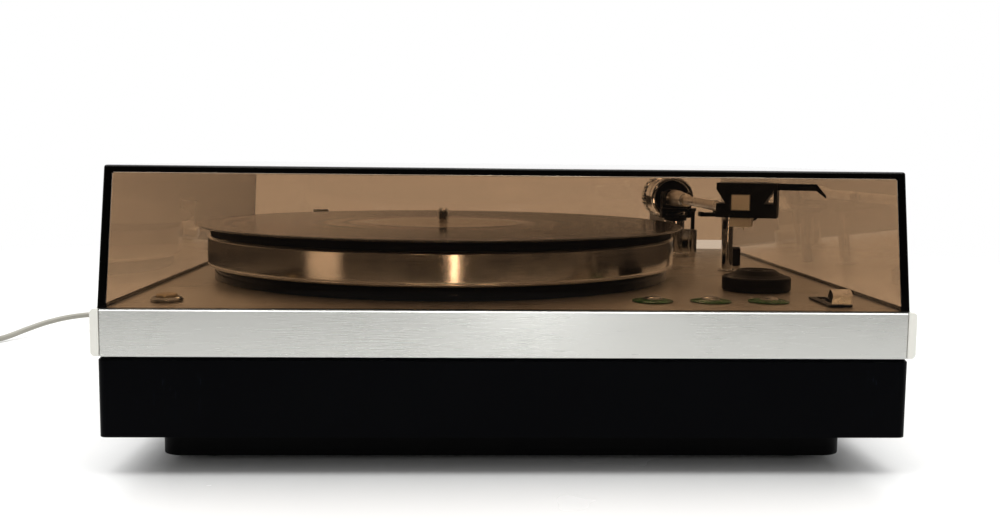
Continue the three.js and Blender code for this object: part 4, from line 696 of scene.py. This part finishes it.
class TURNTABLE_OT_camera(bpy.types.Operator):
    """Stands the camera where the photograph was taken"""

    bl_idname = "turntable.camera"
    bl_label = "Camera"

    def execute(self, context):
        studio = context.scene.turntable_studio
        down, aside, lean = studio.down, studio.aside, studio.lean
        ahead = Vector(
            (math.sin(aside) * math.cos(down), math.cos(aside) * math.cos(down), -math.sin(down))
        )
        right = Vector((math.cos(aside), -math.sin(aside), 0))
        up = right.cross(ahead)
        across = math.cos(lean) * right + math.sin(lean) * up
        back = -ahead
        turn = Matrix((across, back.cross(across), back)).transposed().to_4x4()
        only()
        bpy.ops.object.camera_add()
        camera = context.object
        camera.name = "camera"
        camera.matrix_world = Matrix.Translation(studio.stand) @ turn
        camera.data.lens = studio.lens
        camera.data.sensor_width = 36
        camera.data.clip_start = 0.01
        camera.data.clip_end = 50
        context.scene.camera = camera
        return {"FINISHED"}


class TURNTABLE_OT_lead(bpy.types.Operator):
    """Lays the mains lead from its strain relief to the coil and plug"""

    bl_idname = "turntable.lead"
    bl_label = "Mains lead"

    def execute(self, context):
        settings = context.scene.turntable_lead
        points, away = lead_points(settings)
        only()
        curve = bpy.data.curves.new("mains_cord", "CURVE")
        curve.dimensions = "3D"
        curve.resolution_u = 4
        curve.bevel_depth = settings.thickness / 2
        curve.bevel_resolution = 4
        curve.use_fill_caps = True
        spline = curve.splines.new("BEZIER")
        spline.bezier_points.add(len(points) - 1)
        for knot, point in zip(spline.bezier_points, points):
            knot.co = point
            knot.handle_left_type = knot.handle_right_type = "AUTO"
        lead = bpy.data.objects.new("mains_cord", curve)
        context.scene.collection.objects.link(lead)
        curve.materials.append(finish("lead_grey"))
        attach(lead, "base")
        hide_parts("mains_lead", "lead_coil")

        inner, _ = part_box("strain_relief")
        start, end, ribs = 187.8, 217.8, 5
        flange, neck, narrow = 7, 4.8, 3.2
        profile = [(0, inner.y / MM), (neck, inner.y / MM), (neck, start)]
        profile += [(flange, start), (flange, start + 2)]
        pitch = (end - start - 2) / ribs
        for rib in range(ribs):
            along = start + 2 + rib * pitch
            radius = neck + (narrow - neck) * rib / ribs
            profile += [(radius, along + 0.1), (radius, along + 0.58 * pitch)]
            profile += [(radius - 0.7, along + 0.66 * pitch), (radius - 0.7, along + 0.94 * pitch)]
        profile += [(2.7, end), (0, end)]
        relief = turned("strain_relief_boot", profile, sides=48, rounding=0.12)
        exit_line = Matrix.Translation((LEAD_ROUTE[0][0] * MM, 0, LEAD_ROUTE[0][2] * MM))
        dress(moved(relief, exit_line @ UPRIGHT_TO_BACK), "strain_relief")

        plug = refined("moulded_plug", "mains_plug", 0.9, 3)
        start, pins_from = points[-1], 34.6 * MM

        def on_pins(at):
            return (at - start).dot(away) > pins_from

        dress(plug, "mains_plug", parts=[("bearing_brass", on_pins)])
        return {"FINISHED"}


# The studio. Polished metal mirrors two glowing streaks on the floor, painted highlights that
# only mirrors see, each given by its start, heading, half width per length and strength, and four
# small bright spots, given by their headings.
STREAKS = [
    (mm(-93, -148, 0), (-0.82, -0.57, 0), 0.15, 1.8),
    (mm(-29, -160, 0), (0.11, -0.99, 0), 0.026, 14.0),
]
SPOTS = [(-0.16, -0.72, 0.68), (0.30, -0.56, 0.77), (0.05, -0.35, 0.93), (0.06, 0.80, 0.60)]
SPOT_COLOUR = (14, 14, 13, 1)
DIM_CORNER = (0.17, 0.97, 0.12)


def ray_kinds(tree):
    """Whether a ray comes from the eye, through glass or not, and whether it was mirrored."""
    path = add(tree, "ShaderNodeLightPath", {}).outputs
    plain = maths(tree, "LESS_THAN", path["Diffuse Depth"], 0.5)
    unmirrored = maths(tree, "LESS_THAN", path["Glossy Depth"], 0.5)
    looked = maths(tree, "MAXIMUM", path["Is Camera Ray"], path["Is Transmission Ray"])
    seen = maths(tree, "MULTIPLY", maths(tree, "MULTIPLY", plain, unmirrored), looked)
    looked = maths(tree, "MAXIMUM", path["Is Glossy Ray"], path["Is Transmission Ray"])
    reflected = maths(tree, "SUBTRACT", 1.0, unmirrored)
    mirrored = maths(tree, "MULTIPLY", maths(tree, "MULTIPLY", plain, reflected), looked)
    return seen, mirrored


def streak(tree, place, start, heading, half, strength):
    """A glowing streak widening over the floor from a start: a painted highlight for metal to mirror.
    """
    ahead = Vector(heading).normalized()
    aside = Vector((ahead.y, -ahead.x, 0))
    about = vector_maths(tree, "SUBTRACT", place, start)
    off = vector_maths(tree, "DOT_PRODUCT", about, aside)
    along = vector_maths(tree, "DOT_PRODUCT", about, ahead)
    slope = maths(tree, "ABSOLUTE", maths(tree, "DIVIDE", off, along))
    inside = spread_out(tree, slope, strength, 0.0, half * 0.75, half * 1.25)
    return maths(tree, "MULTIPLY", inside, maths(tree, "GREATER_THAN", along, 0.0))


def towards(tree, place, heading, outside, inside):
    """1 round a heading and 0 away from it; the limits are cosines."""
    near = vector_maths(tree, "DOT_PRODUCT", place, Vector(heading).normalized())
    return spread_out(tree, near, 0.0, 1.0, outside, inside)


class TURNTABLE_OT_stage(bpy.types.Operator):
    """Lays the pale floor and sets up the lamp and the room's light"""

    bl_idname = "turntable.stage"
    bl_label = "Stage"

    def execute(self, context):
        studio = context.scene.turntable_studio
        only()
        bpy.ops.mesh.primitive_plane_add(size=16)
        floor = named(context.object, "floor")
        floor.data.materials.append(self.floor_finish())
        bpy.ops.object.light_add(type="AREA", location=(0, 0.05, 1.5))
        lamp = context.object
        lamp.name = "overhead"
        lamp.data.shape = "RECTANGLE"
        lamp.data.size, lamp.data.size_y = 2.6, 1.8
        lamp.data.energy = studio.overhead
        lamp.visible_camera = lamp.visible_transmission = False
        self.room(context, studio.fill)
        context.scene.view_settings.view_transform = "Standard"
        return {"FINISHED"}

    def floor_finish(self):
        """White gloss paint that melts into the background further out."""
        material, tree, shader, place = painted("floor_white", (0.90, 0.90, 0.89), 0.22)
        vary_shader(tree, shader, roughness=spread_out(tree, noise(tree, place, 240), 0.16, 0.30))
        far = vector_maths(tree, "LENGTH", place)
        seen, mirrored = ray_kinds(tree)
        fading = spread_out(tree, far, 1.0, 0.0, 2.4, 2.8)
        tone = 0.055
        # Mirrors see the floor glow dim, with the streaks glowing brighter in it: painted reflections
        # that light nothing.
        for beam in STREAKS:
            light = maths(tree, "MULTIPLY", streak(tree, place, *beam), fading)
            tone = maths(tree, "ADD", tone, light)
        glow = add(tree, "ShaderNodeMix", {0: mirrored, 2: 1.0, 3: tone}).outputs[0]
        shine = add(tree, "ShaderNodeEmission", {"Color": grey(1), "Strength": glow})
        looked_at = maths(tree, "MULTIPLY", spread_out(tree, far, 0.0, 1.0, 0.55, 1.3), seen)
        in_metal = maths(tree, "MULTIPLY", spread_out(tree, far, 0.0, 1.0, 0.80, 0.95), mirrored)
        mixed_out(tree, maths(tree, "ADD", looked_at, in_metal), shader, shine)
        return material

    def room(self, context, fill):
        """White to look at and through; mirrors see a room that is dim towards the front."""
        world = bpy.data.worlds.new("room")
        world.use_nodes = True
        context.scene.world = world
        tree = world.node_tree
        place = add(tree, "ShaderNodeTexCoord", {}).outputs["Generated"]
        parts = add(tree, "ShaderNodeSeparateXYZ", {"Vector": place}).outputs
        behind = spread_out(tree, parts["Y"], 0.0, 1.0, -0.3, 0.3)
        above = spread_out(tree, parts["Z"], 0.0, 0.7, 0.25, 0.9)
        raised = spread_out(tree, parts["Z"], 0.0, 1.0, 0.05, 0.08)
        room = blended(tree, above, grey(0.03), grey(1))
        room = blended(tree, behind, room, grey(1))
        corner = maths(tree, "MULTIPLY", towards(tree, place, DIM_CORNER, 0.955, 0.995), raised)
        room = blended(tree, corner, room, grey(0.18))
        for spot in SPOTS:
            room = blended(tree, towards(tree, place, spot, 0.9960, 0.9985), room, SPOT_COLOUR)
        seen, mirrored = ray_kinds(tree)
        lit = blended(tree, mirrored, grey(fill), room)
        tree.links.new(blended(tree, seen, lit, grey(1)), tree.nodes["Background"].inputs["Color"])


# The body


class TURNTABLE_OT_body(bpy.types.Operator):
    """Rounds the plinth, its base, the silver deck and the pale side strips"""

    bl_idname = "turntable.body"
    bl_label = "Plinth and deck"

    def execute(self, context):
        softened("black_plinth", "plinth_shell", 0.5, 3)
        softened("recessed_base", "bottom_tray", 0.5)
        softened("silver_deck", "deck_panel", 0.5, 3)
        for side in ("left", "right"):
            softened(f"pale_strip_{side}", f"side_strip_{side}", 0.4, 3)
            softened(f"hinge_{side}", f"hinge_bracket_{side}", 0.3)
        return {"FINISHED"}


class TURNTABLE_OT_feet(bpy.types.Operator):
    """Turns a rubber foot with a ribbed sole and copies it to the four corners"""

    bl_idname = "turntable.feet"
    bl_label = "Feet"

    def execute(self, context):
        _, top = heights("foot_front_left")
        profile = [(0, 1.0), (7, 1.0), (8, 0), (9, 0), (9.4, 0.5), (10, 0.5), (10.4, 0), (12, 0)]
        profile += [(12.6, 0.8), (14, top - 0.6), (14, top), (0, top)]
        master = turned("foot", profile, sides=64)
        for place in ("front_left", "front_right", "rear_left", "rear_right"):
            at = middle(f"foot_{place}")
            foot = copied(master, f"rubber_foot_{place}", (at.x, at.y, 0))
            dress(foot, f"foot_{place}")
        bpy.data.objects.remove(master)
        return {"FINISHED"}


# The dust cover


class TURNTABLE_OT_cover(bpy.types.Operator):
    """Forms the smoked dust cover, leaning walls and all, with its dark edges painted on as shade"""

    bl_idname = "turntable.cover"
    bl_label = "Dust cover"

    def execute(self, context):
        settings = context.scene.turntable_cover
        low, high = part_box("dust_cover")
        shell = self.leaning_box("smoked_cover", low, high, settings, 0.0)
        shell.data.materials.append(finish("cover_smoke"))
        shell.data.materials.append(finish("cover_edge"))
        self.darken_edges(shell, low, high, settings.band)
        hollow = self.leaning_box("hollow", low, high, settings, settings.wall)
        beyond, notch_front, notch_top = 0.01, 0.1735, 0.089
        notch = block(
            "notch",
            (low.x - beyond, notch_front, low.z - beyond),
            (high.x + beyond, high.y + beyond, notch_top),
        )
        for tool in (hollow, notch):
            tool.data.materials.append(finish("cover_smoke"))
            combined(shell, tool)
        smoothed(shell, 35)
        # Painted shade: the faces along the cover's foot take the near-black edge finish too.
        for face in shell.data.polygons:
            if face.center.z < low.z + 0.1 * MM:
                face.material_index = 1
        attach(shell, "cover")
        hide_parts("dust_cover")
        for side in ("left", "right"):
            softened(f"cover_hinge_{side}", f"cover_ear_{side}", 0.3)
        return {"FINISHED"}

    def leaning_box(self, name, low, high, settings, wall):
        """A box whose walls lean in, with its upright corners and top edge rounded.

        With a wall it is the space inside, which runs on below the cover.
        """
        lean = settings.draft / (high.z - low.z)
        bottom = low.z - 2 * wall
        top = high.z - wall
        inset = wall - 2 * wall * lean
        width, depth = high.x - low.x - 2 * inset, high.y - low.y - 2 * inset
        shrink = 2 * (top - bottom) * lean
        centre = (low + high) / 2
        only()
        bpy.ops.mesh.primitive_cube_add(
            size=1,
            location=(centre.x, centre.y, (bottom + top) / 2),
            scale=(width, depth, top - bottom),
        )
        piece = named(bpy.context.object, name)
        bpy.ops.object.transform_apply(location=True, rotation=True, scale=True)
        self.choose(piece.data.polygons, lambda face: face.normal.z > 0.9, "FACE")
        bpy.ops.transform.resize(
            value=(1 - shrink / width, 1 - shrink / depth, 1),
            center_override=(centre.x, centre.y, top),
        )
        rounding = 0.5 if wall else 1.0

        def ends(edge):
            return [piece.data.vertices[index].co.z for index in edge.vertices]

        def upright(edge):
            return max(ends(edge)) - min(ends(edge)) > (top - bottom) / 2

        self.choose(piece.data.edges, upright, "EDGE")
        bpy.ops.mesh.bevel(offset=settings.corner * rounding, segments=6, affect="EDGES")
        self.choose(piece.data.edges, lambda edge: min(ends(edge)) > top - MM * MM, "EDGE")
        bpy.ops.mesh.bevel(offset=settings.edge * rounding, segments=5, affect="EDGES")
        bpy.ops.object.mode_set(mode="OBJECT")
        return piece

    def choose(self, parts, test, kind):
        """Selects in edit mode the faces or edges that pass a test."""
        if bpy.context.object.mode == "OBJECT":
            bpy.ops.object.mode_set(mode="EDIT")
        bpy.ops.mesh.select_mode(type=kind)
        bpy.ops.mesh.select_all(action="DESELECT")
        bpy.ops.object.mode_set(mode="OBJECT")
        for part in parts:
            part.select = test(part)
        bpy.ops.object.mode_set(mode="EDIT")

    def darken_edges(self, piece, low, high, band):
        """Paints a near-black strip of shade along the edges where the acrylic is seen edge on.

        Front and top have it, the rear has none, and the sides have it along the deck too.
        """
        large, crossed = 0.01, 0.003

        def wall(face):
            return face.area > large and face.normal.z > -0.5

        self.choose(piece.data.polygons, wall, "FACE")
        bpy.ops.mesh.inset(thickness=band, use_individual=True)
        # The strip is wider than the top's corners are round, so the inset has crossed over there.
        bpy.ops.mesh.remove_doubles(threshold=crossed)
        bpy.ops.object.mode_set(mode="OBJECT")
        for face in piece.data.polygons:
            at = face.center
            foot, over = at.z < low.z + band, at.z > high.z - 2.5 * band
            front, rear = at.y < low.y + 3 * band, at.y > high.y - 3 * band
            beside = abs(face.normal.x) > 0.5
            strip = foot and beside or front and not foot or over and not rear
            face.material_index = int(strip and face.area < large and face.normal.z > -0.5)


# Platter and record


class TURNTABLE_OT_platter(bpy.types.Operator):
    """Turns the platter, the ring under it, the ribbed mat and the spindle"""

    bl_idname = "turntable.platter"
    bl_label = "Platter"

    def execute(self, context):
        settings = context.scene.turntable_platter
        centre, sides = SPINDLE, settings.sides
        low, high = heights("platter")
        radius, hole, pin_foot = reach("platter"), 3.9, low + 14
        profile = [
            (hole, high - 3), (radius - 5, high - 3), (radius - 5, low),
            (radius - 1, low), (radius, low + 1), (radius, low + 1.6), (radius - 0.25, low + 1.8),
            (radius - 0.25, low + 2.1), (radius, low + 2.3), (radius, high - 1.2),
            (radius - 1.2, high), (hole, high), (hole, high - 3),
        ]
        dress(turned("platter_disc", profile, centre, sides, 0.15), "platter")

        low, high = heights("platter_ring")
        ring, corner = reach("platter_ring"), 3
        turns = [math.radians(90 * step / 8) for step in range(9)]
        curve = [
            (ring - corner * (1 - math.cos(turn)), high - corner * (1 - math.sin(turn)))
            for turn in turns
        ]
        profile = [(ring - 7, low), (ring, low), *curve, (ring - 7, high), (ring - 7, low)]
        dress(turned("gloss_ring", profile, centre, sides), "platter_ring")

        low, high = heights("platter_mat")
        edge = reach("platter_mat")
        profile = [(hole, low), (edge - 0.5, low), (edge, (low + high) / 2), (edge - 0.6, high)]
        pitch = (edge - 12 - 8) / settings.ribs
        for rib in range(settings.ribs):
            outer = edge - 6 - rib * pitch
            profile += [(outer, high), (outer - 0.4, high - 0.8)]
            profile += [(outer - 1.4, high - 0.8), (outer - 1.8, high)]
        profile += [(hole, high), (hole, low)]
        dress(turned("ribbed_mat", profile, centre, sides), "platter_mat")

        low, high = heights("spindle")
        shaft, pin = reach("spindle"), 3.6
        profile = [(0, low), (shaft, low), (shaft, pin_foot), (pin, pin_foot), (pin, high - 3.0)]
        profile += [(3.45, high - 1.9), (2.9, high - 0.8), (1.9, high - 0.15), (0, high)]
        dress(turned("spindle_pin", profile, centre, 48, 0.1), "spindle")
        return {"FINISHED"}


class TURNTABLE_OT_record(bpy.types.Operator):
    """Presses the record, with its bead, bands of grooves and bare label"""

    bl_idname = "turntable.record"
    bl_label = "Record"

    def execute(self, context):
        settings = context.scene.turntable_platter
        low, high = heights("record_disc")
        radius, hole, label = reach("record_disc"), 3.9, settings.label / MM
        groove, sunk = high - 0.15, high - 0.06
        profile = [(hole, low), (radius - 0.9, low), (radius - 0.25, low + 0.25)]
        profile += [(radius, (low + high) / 2), (radius - 0.25, high - 0.25), (radius - 0.9, high)]
        profile += [(radius - 1.7, groove)]
        outer, dead_wax = radius - 4.5, 62.0
        wide = (outer - dead_wax) / settings.bands
        for band in range(settings.bands):
            start = outer - band * wide
            profile += [(start, groove), (start - 0.3, groove + 0.05)]
            profile += [(start - wide + 1.3, groove + 0.05), (start - wide + 1.0, groove)]
        profile += [(label + 0.6, groove), (label, high), (label - 0.8, high), (label - 1.0, sunk)]
        profile += [(18, sunk), (17.2, high), (16.2, high), (15.4, sunk), (hole, sunk), (hole, low)]
        disc = turned("long_playing_record", profile, SPINDLE, settings.sides)

        def on_label(at):
            away = math.hypot(at.x - SPINDLE.x, at.y - SPINDLE.y)
            return away < settings.label and at.z > (high - 0.5) * MM

        dress(disc, "record_disc", angle=40, parts=[("label_grey", on_label)])
        return {"FINISHED"}


# The arm. Its pieces are drawn round the pivot.


class TURNTABLE_OT_arm(bpy.types.Operator):
    """Turns the tapered tube, its block and pins, and the stub behind them"""

    bl_idname = "turntable.arm"
    bl_label = "Arm"

    def execute(self, context):
        settings = context.scene.turntable_arm
        tube, collar, block_radius = settings.tube / MM, settings.collar / MM, 6.2
        stem = -204.7
        profile = [
            (0, stem), (tube, stem), (tube, -41.2), (tube + 0.5, -40.9), (collar, -40.0),
            (collar, -38.3), (collar - 0.35, -38.1), (collar - 0.35, -37.7), (collar, -37.5),
            (collar + 0.1, -36.4), (block_radius, -6), (block_radius, 6), (0, 6),
        ]
        form = moved(turned("taper", profile, sides=64, rounding=0.25), ALONG_ARM)
        pins = turned("pins", [(0, -9.6), (1.3, -9.6), (1.3, 9.6), (0, 9.6)], sides=24, rounding=0.2)
        joint = PIVOT.y - 38 * MM
        dress(
            joined("tapered_tube", form, moved(pins, ACROSS_ARM)),
            "arm_tube",
            parts=[("arm_black", lambda at: joint - 0.4 * MM < at.y < joint + 1.2 * MM)],
        )

        stub = [(0, 6.3), (5, 6.3), (5, 8.3), (3, 8.3), (3, 44.3), (0, 44.3)]
        dress(moved(turned("stub", stub, sides=48, rounding=0.25), ALONG_ARM), "balance_stub")
        return {"FINISHED"}


class TURNTABLE_OT_weight(bpy.types.Operator):
    """Turns the counterweight, with its black cup in front and knurled ring behind"""

    bl_idname = "turntable.weight"
    bl_label = "Counterweight"

    def execute(self, context):
        settings = context.scene.turntable_arm
        radius = settings.weight / MM
        cup, bore, start, end = 13.2, 6.3, 12.0, 52.0
        cup_end, ring_start, barrel_end = start + 11, end - 10, end - 5
        profile = [
            (bore, cup_end), (cup, cup_end), (cup, start + 0.4), (cup + 0.4, start),
            (radius - 1.4, start), (radius - 0.6, start + 0.25), (radius - 0.15, start + 0.75),
            (radius, start + 1.4), (radius, start + 8), (radius - 0.9, start + 8.4),
            (radius - 0.9, start + 9.8), (radius, start + 10.2), (radius, barrel_end),
            (bore, barrel_end), (bore, cup_end),
        ]
        form = turned("barrel", profile, sides=96)
        tip, root = radius + 1, radius + 0.3
        outline = []
        for tooth in range(settings.teeth):
            for step, height in ((0.0, root), (0.22, tip), (0.60, tip), (0.82, root)):
                outline.append(on_circle(height, math.tau * (tooth + step) / settings.teeth))
        ring = plate("ring", outline, ring_start, end, 0.12)
        profile = [(0, ring_start - 2), (bore, ring_start - 2), (bore, end + 2), (0, end + 2)]
        hole = turned("hole", profile, sides=48)
        weight = joined("knurled_weight", form, combined(ring, hole))
        moved(weight, ALONG_ARM)

        def in_cup(at):
            away = math.hypot(at.x - PIVOT.x, at.z - PIVOT.z)
            return away < (cup + 0.1) * MM and at.y < PIVOT.y + (cup_end + 0.5) * MM

        dress(weight, "counterweight", parts=[("arm_black", in_cup)])
        return {"FINISHED"}


class TURNTABLE_OT_gimbal(bpy.types.Operator):
    """Builds the black yoke, the column under it and the curved lift bar"""

    bl_idname = "turntable.gimbal"
    bl_label = "Gimbal and column"

    def execute(self, context):
        low = from_pivot(heights("arm_yoke")[0])
        profile = [(0, low), (3, low), (3, -16.6), (8.5, -16.6), (8.5, -12.6), (0, -12.6)]
        yoke = turned("gimbal_yoke", profile, sides=64)
        combined(yoke, block("bridge", mm(-11, -5, -14.6), mm(11, 5, -12.6)), "UNION")
        cheek = [(-5, -14.0), (5, -14.0)]
        cheek += [on_circle(5, math.radians(180 * step / 20)) for step in range(21)]
        for start in (8.2, -11):
            side = moved(plate("cheek", cheek, start, start + 2.8), STANDING_SIDEWAYS)
            combined(yoke, side, "UNION")
        hole = turned("hole", [(0, -14), (1.6, -14), (1.6, 14), (0, 14)], sides=24)
        combined(yoke, moved(hole, UPRIGHT_TO_SIDE))
        moved(rounded(yoke, 0.4), Matrix.Translation(PIVOT))
        dress(yoke, "arm_yoke")

        deck, low, top, bore = from_pivot(DECK_TOP), from_pivot(heights("arm_column")[0]), -16.9, 3.15
        guide_low, guide_high = deck + 0.3, deck + 21
        profile = [
            (bore, low), (11, low), (11, low + 5), (6, low + 5), (6, deck + 0.3), (10.5, deck + 0.3),
            (10.5, deck + 2.3), (9.8, deck + 3), (7, deck + 3), (7, top), (bore, top), (bore, low),
        ]
        column = turned("column", profile, sides=64, rounding=0.25)
        turn = math.radians(-38)
        away = 14.6
        rod = [part * MM for part in on_circle(away, turn)]
        web = block("web", mm(5, -1.5, guide_low), mm(away, 1.5, guide_high), 0.4)
        moved(web, Matrix.Rotation(turn, 4, "Z"))
        profile = [(1.9, guide_low), (3.3, guide_low), (3.3, guide_high), (1.9, guide_high)]
        guide = turned("guide", [*profile, profile[0]], rod, 32, 0.25)
        post = joined("arm_pillar", column, web, guide)
        dress(moved(post, Matrix.Translation(PIVOT)), "arm_column")

        outline = []
        for radius, angles in ((16.3, range(-28, -143, -3)), (12.9, range(-142, -27, 3))):
            outline += [on_circle(radius, angle) for angle in map(math.radians, angles)]
        arc = plate("arc", outline, -9.4, -7.0, 0.5)
        low = from_pivot(heights("lift_bar")[0])
        stem = turned("stem", [(0, low), (1.5, low), (1.5, -8.2), (0, -8.2)], rod, 24)
        lift = joined("curved_lift_bar", arc, stem)
        dress(moved(lift, Matrix.Translation(PIVOT)), "lift_bar")
        return {"FINISHED"}


class TURNTABLE_OT_headshell(bpy.types.Operator):
    """Rounds the box-shaped headshell, the cartridge and its stylus holder"""

    bl_idname = "turntable.headshell"
    bl_label = "Headshell"

    def execute(self, context):
        softened("box_headshell", "headshell", 0.35, 3)
        softened("pickup_body", "cartridge", 0.35, 3)
        softened("stylus_carrier", "stylus_holder", 0.18)
        return {"FINISHED"}


class TURNTABLE_OT_arm_rest(bpy.types.Operator):
    """Turns the chrome post and rounds the cradle that holds the tube, and the upright slider"""

    bl_idname = "turntable.arm_rest"
    bl_label = "Arm rest and slider"

    def execute(self, context):
        low, high = heights("arm_rest_post")
        flange = DECK_TOP + 1.2
        profile = [
            (0, low), (2.4, low), (2.4, ON_DECK), (6, ON_DECK), (6, flange), (3.6, flange),
            (3.6, high - 1.0), (0, high),
        ]
        post = turned("rest_post", profile, middle("arm_rest_post"), 64, 0.2)
        dress(post, "arm_rest_post")
        softened("rest_cradle", "arm_rest_cradle", 0.5, 3)
        softened("upright_slider", "anti_skate_slider", 0.35, 3)
        return {"FINISHED"}


# The controls


class TURNTABLE_OT_keys(bpy.types.Operator):
    """Turns the three chrome keys in their green rings"""

    bl_idname = "turntable.keys"
    bl_label = "Keys"

    def execute(self, context):
        key, stem, domed = 5, 2, 1.6
        turns = [math.radians(90 - 90 * step / 10) for step in range(10)]
        for name in ("speed_33", "speed_45", "stop"):
            at = middle(f"{name}_key")
            low, high = heights(f"{name}_key")
            dome = [(key * math.sin(turn), high - domed * (1 - math.cos(turn))) for turn in turns]
            under = DECK_TOP - 2.5
            profile = [(0, low), (stem, low), (stem, under), (key, under), *dome, (0, high)]
            dress(turned(f"{name}_dome", profile, at, 64), f"{name}_key")
            low, _ = heights(f"{name}_ring")
            bore, top = 5.4, DECK_TOP + 1.6
            profile = [
                (bore, low), (7.6, low), (7.6, ON_DECK), (10.6, ON_DECK), (10.6, DECK_TOP + 0.6),
                (9.2, DECK_TOP + 1.0), (7.0, DECK_TOP + 1.3), (6.1, top), (bore, top), (bore, low),
            ]
            dress(turned(f"{name}_lens", profile, at, 64, 0.1), f"{name}_ring")
        return {"FINISHED"}


class TURNTABLE_OT_power(bpy.types.Operator):
    """Turns the dished power button and its bezel"""

    bl_idname = "turntable.power"
    bl_label = "Power button"

    def execute(self, context):
        at = middle("power_button")
        low, high = heights("power_button")
        stem, button, under = 2.4, 5.4, DECK_TOP - 2
        profile = [
            (0, low), (stem, low), (stem, under), (button, under), (button, high - 1.2),
            (5.1, high - 0.5), (4.5, high - 0.05), (4.0, high), (2.7, high - 0.15), (0, high - 0.5),
        ]
        dress(turned("dished_button", profile, at, 64), "power_button")
        low, high = heights("power_bezel")
        bore = 5.8
        profile = [
            (bore, low), (6.8, low), (6.8, ON_DECK), (8, ON_DECK), (8, DECK_TOP + 1.2),
            (7.5, DECK_TOP + 1.9), (6.5, high), (bore, high), (bore, low),
        ]
        dress(turned("button_bezel", profile, at, 64, 0.15), "power_bezel")
        return {"FINISHED"}


class TURNTABLE_OT_lever(bpy.types.Operator):
    """Rounds the silver lever and its black slotted plate"""

    bl_idname = "turntable.lever"
    bl_label = "Arm lift lever"

    def execute(self, context):
        softened("slotted_plate", "cue_plate", 0.3)
        centre = middle("cue_lever")
        # Painted shade: the lever's sides are finished black, so that they show darker than its silver
        # face.
        dress(
            refined("silver_lever", "cue_lever", 0.4, 3),
            "cue_lever",
            parts=[("arm_black", lambda at: abs(at.x - centre.x) > 4.5 * MM)],
        )
        return {"FINISHED"}


class TURNTABLE_OT_adaptor(bpy.types.Operator):
    """Turns the adaptor for records with a wide hole"""

    bl_idname = "turntable.adaptor"
    bl_label = "Adaptor"

    def execute(self, context):
        low, high = heights("record_adaptor")
        rim, hole = low + 7.9, 3.8
        profile = [
            (hole, low), (18.4, low), (19.05, low + 0.7), (19.05, rim - 0.9), (18.7, rim - 0.3),
            (18.1, rim), (17.0, rim), (16.5, rim + 0.3), (14.4, rim + 1.3), (14.0, rim + 1.0),
            (13.4, rim + 1.2), (13.0, rim + 1.8), (11.0, high - 0.5), (10.4, high), (9.4, high),
            (8.9, high - 0.6), (6.2, high - 1.2), (5.6, high - 0.8), (4.4, high - 0.8),
            (hole, high - 1.4), (hole, low),
        ]
        puck = turned("wide_hole_adaptor", profile, middle("record_adaptor"), 96)
        dress(puck, "record_adaptor", angle=40)
        return {"FINISHED"}


class TURNTABLE_OT_inside(bpy.types.Operator):
    """Finishes every node that shows as it is, such as motor, belt and transformer"""

    bl_idname = "turntable.inside"
    bl_label = "Inner parts"

    def execute(self, context):
        for name, part in NODES.items():
            if part.hide_render:
                continue
            for slot in part.material_slots:
                slot.material = finish(SLOTS[name])
        return {"FINISHED"}


STEPS = [
    "camera", "lead", "stage", "body", "feet", "cover", "platter", "record", "arm", "weight",
    "gimbal", "headshell", "arm_rest", "keys", "power", "lever", "adaptor", "inside",
]


class TURNTABLE_PT_panel(bpy.types.Panel):
    """Lists the turntable's steps and settings"""

    bl_idname = "TURNTABLE_PT_panel"
    bl_label = "Turntable"
    bl_space_type = "VIEW_3D"
    bl_region_type = "UI"
    bl_category = "Turntable"

    def draw(self, context):
        for step in STEPS:
            self.layout.operator(f"turntable.{step}")
        for name in SETTINGS:
            group = getattr(context.scene, name)
            box = self.layout.box()
            for setting in group.bl_rna.properties:
                if not setting.is_readonly and setting.identifier != "name":
                    box.prop(group, setting.identifier)


SETTINGS = {
    "turntable_studio": StudioSettings,
    "turntable_lead": LeadSettings,
    "turntable_cover": CoverSettings,
    "turntable_platter": PlatterSettings,
    "turntable_arm": ArmSettings,
    "turntable_colours": FinishColours,
}
CLASSES = [
    *SETTINGS.values(),
    TURNTABLE_OT_camera,
    TURNTABLE_OT_lead,
    TURNTABLE_OT_stage,
    TURNTABLE_OT_body,
    TURNTABLE_OT_feet,
    TURNTABLE_OT_cover,
    TURNTABLE_OT_platter,
    TURNTABLE_OT_record,
    TURNTABLE_OT_arm,
    TURNTABLE_OT_weight,
    TURNTABLE_OT_gimbal,
    TURNTABLE_OT_headshell,
    TURNTABLE_OT_arm_rest,
    TURNTABLE_OT_keys,
    TURNTABLE_OT_power,
    TURNTABLE_OT_lever,
    TURNTABLE_OT_adaptor,
    TURNTABLE_OT_inside,
    TURNTABLE_PT_panel,
]


def register():
    for kind in CLASSES:
        bpy.utils.register_class(kind)
    for name, kind in SETTINGS.items():
        setattr(bpy.types.Scene, name, bpy.props.PointerProperty(type=kind))


def unregister():
    for name in SETTINGS:
        delattr(bpy.types.Scene, name)
    for kind in reversed(CLASSES):
        bpy.utils.unregister_class(kind)


def main():
    register()
    for step in STEPS:
        getattr(bpy.ops.turntable, step)()


if __name__ == "__main__":
    main()
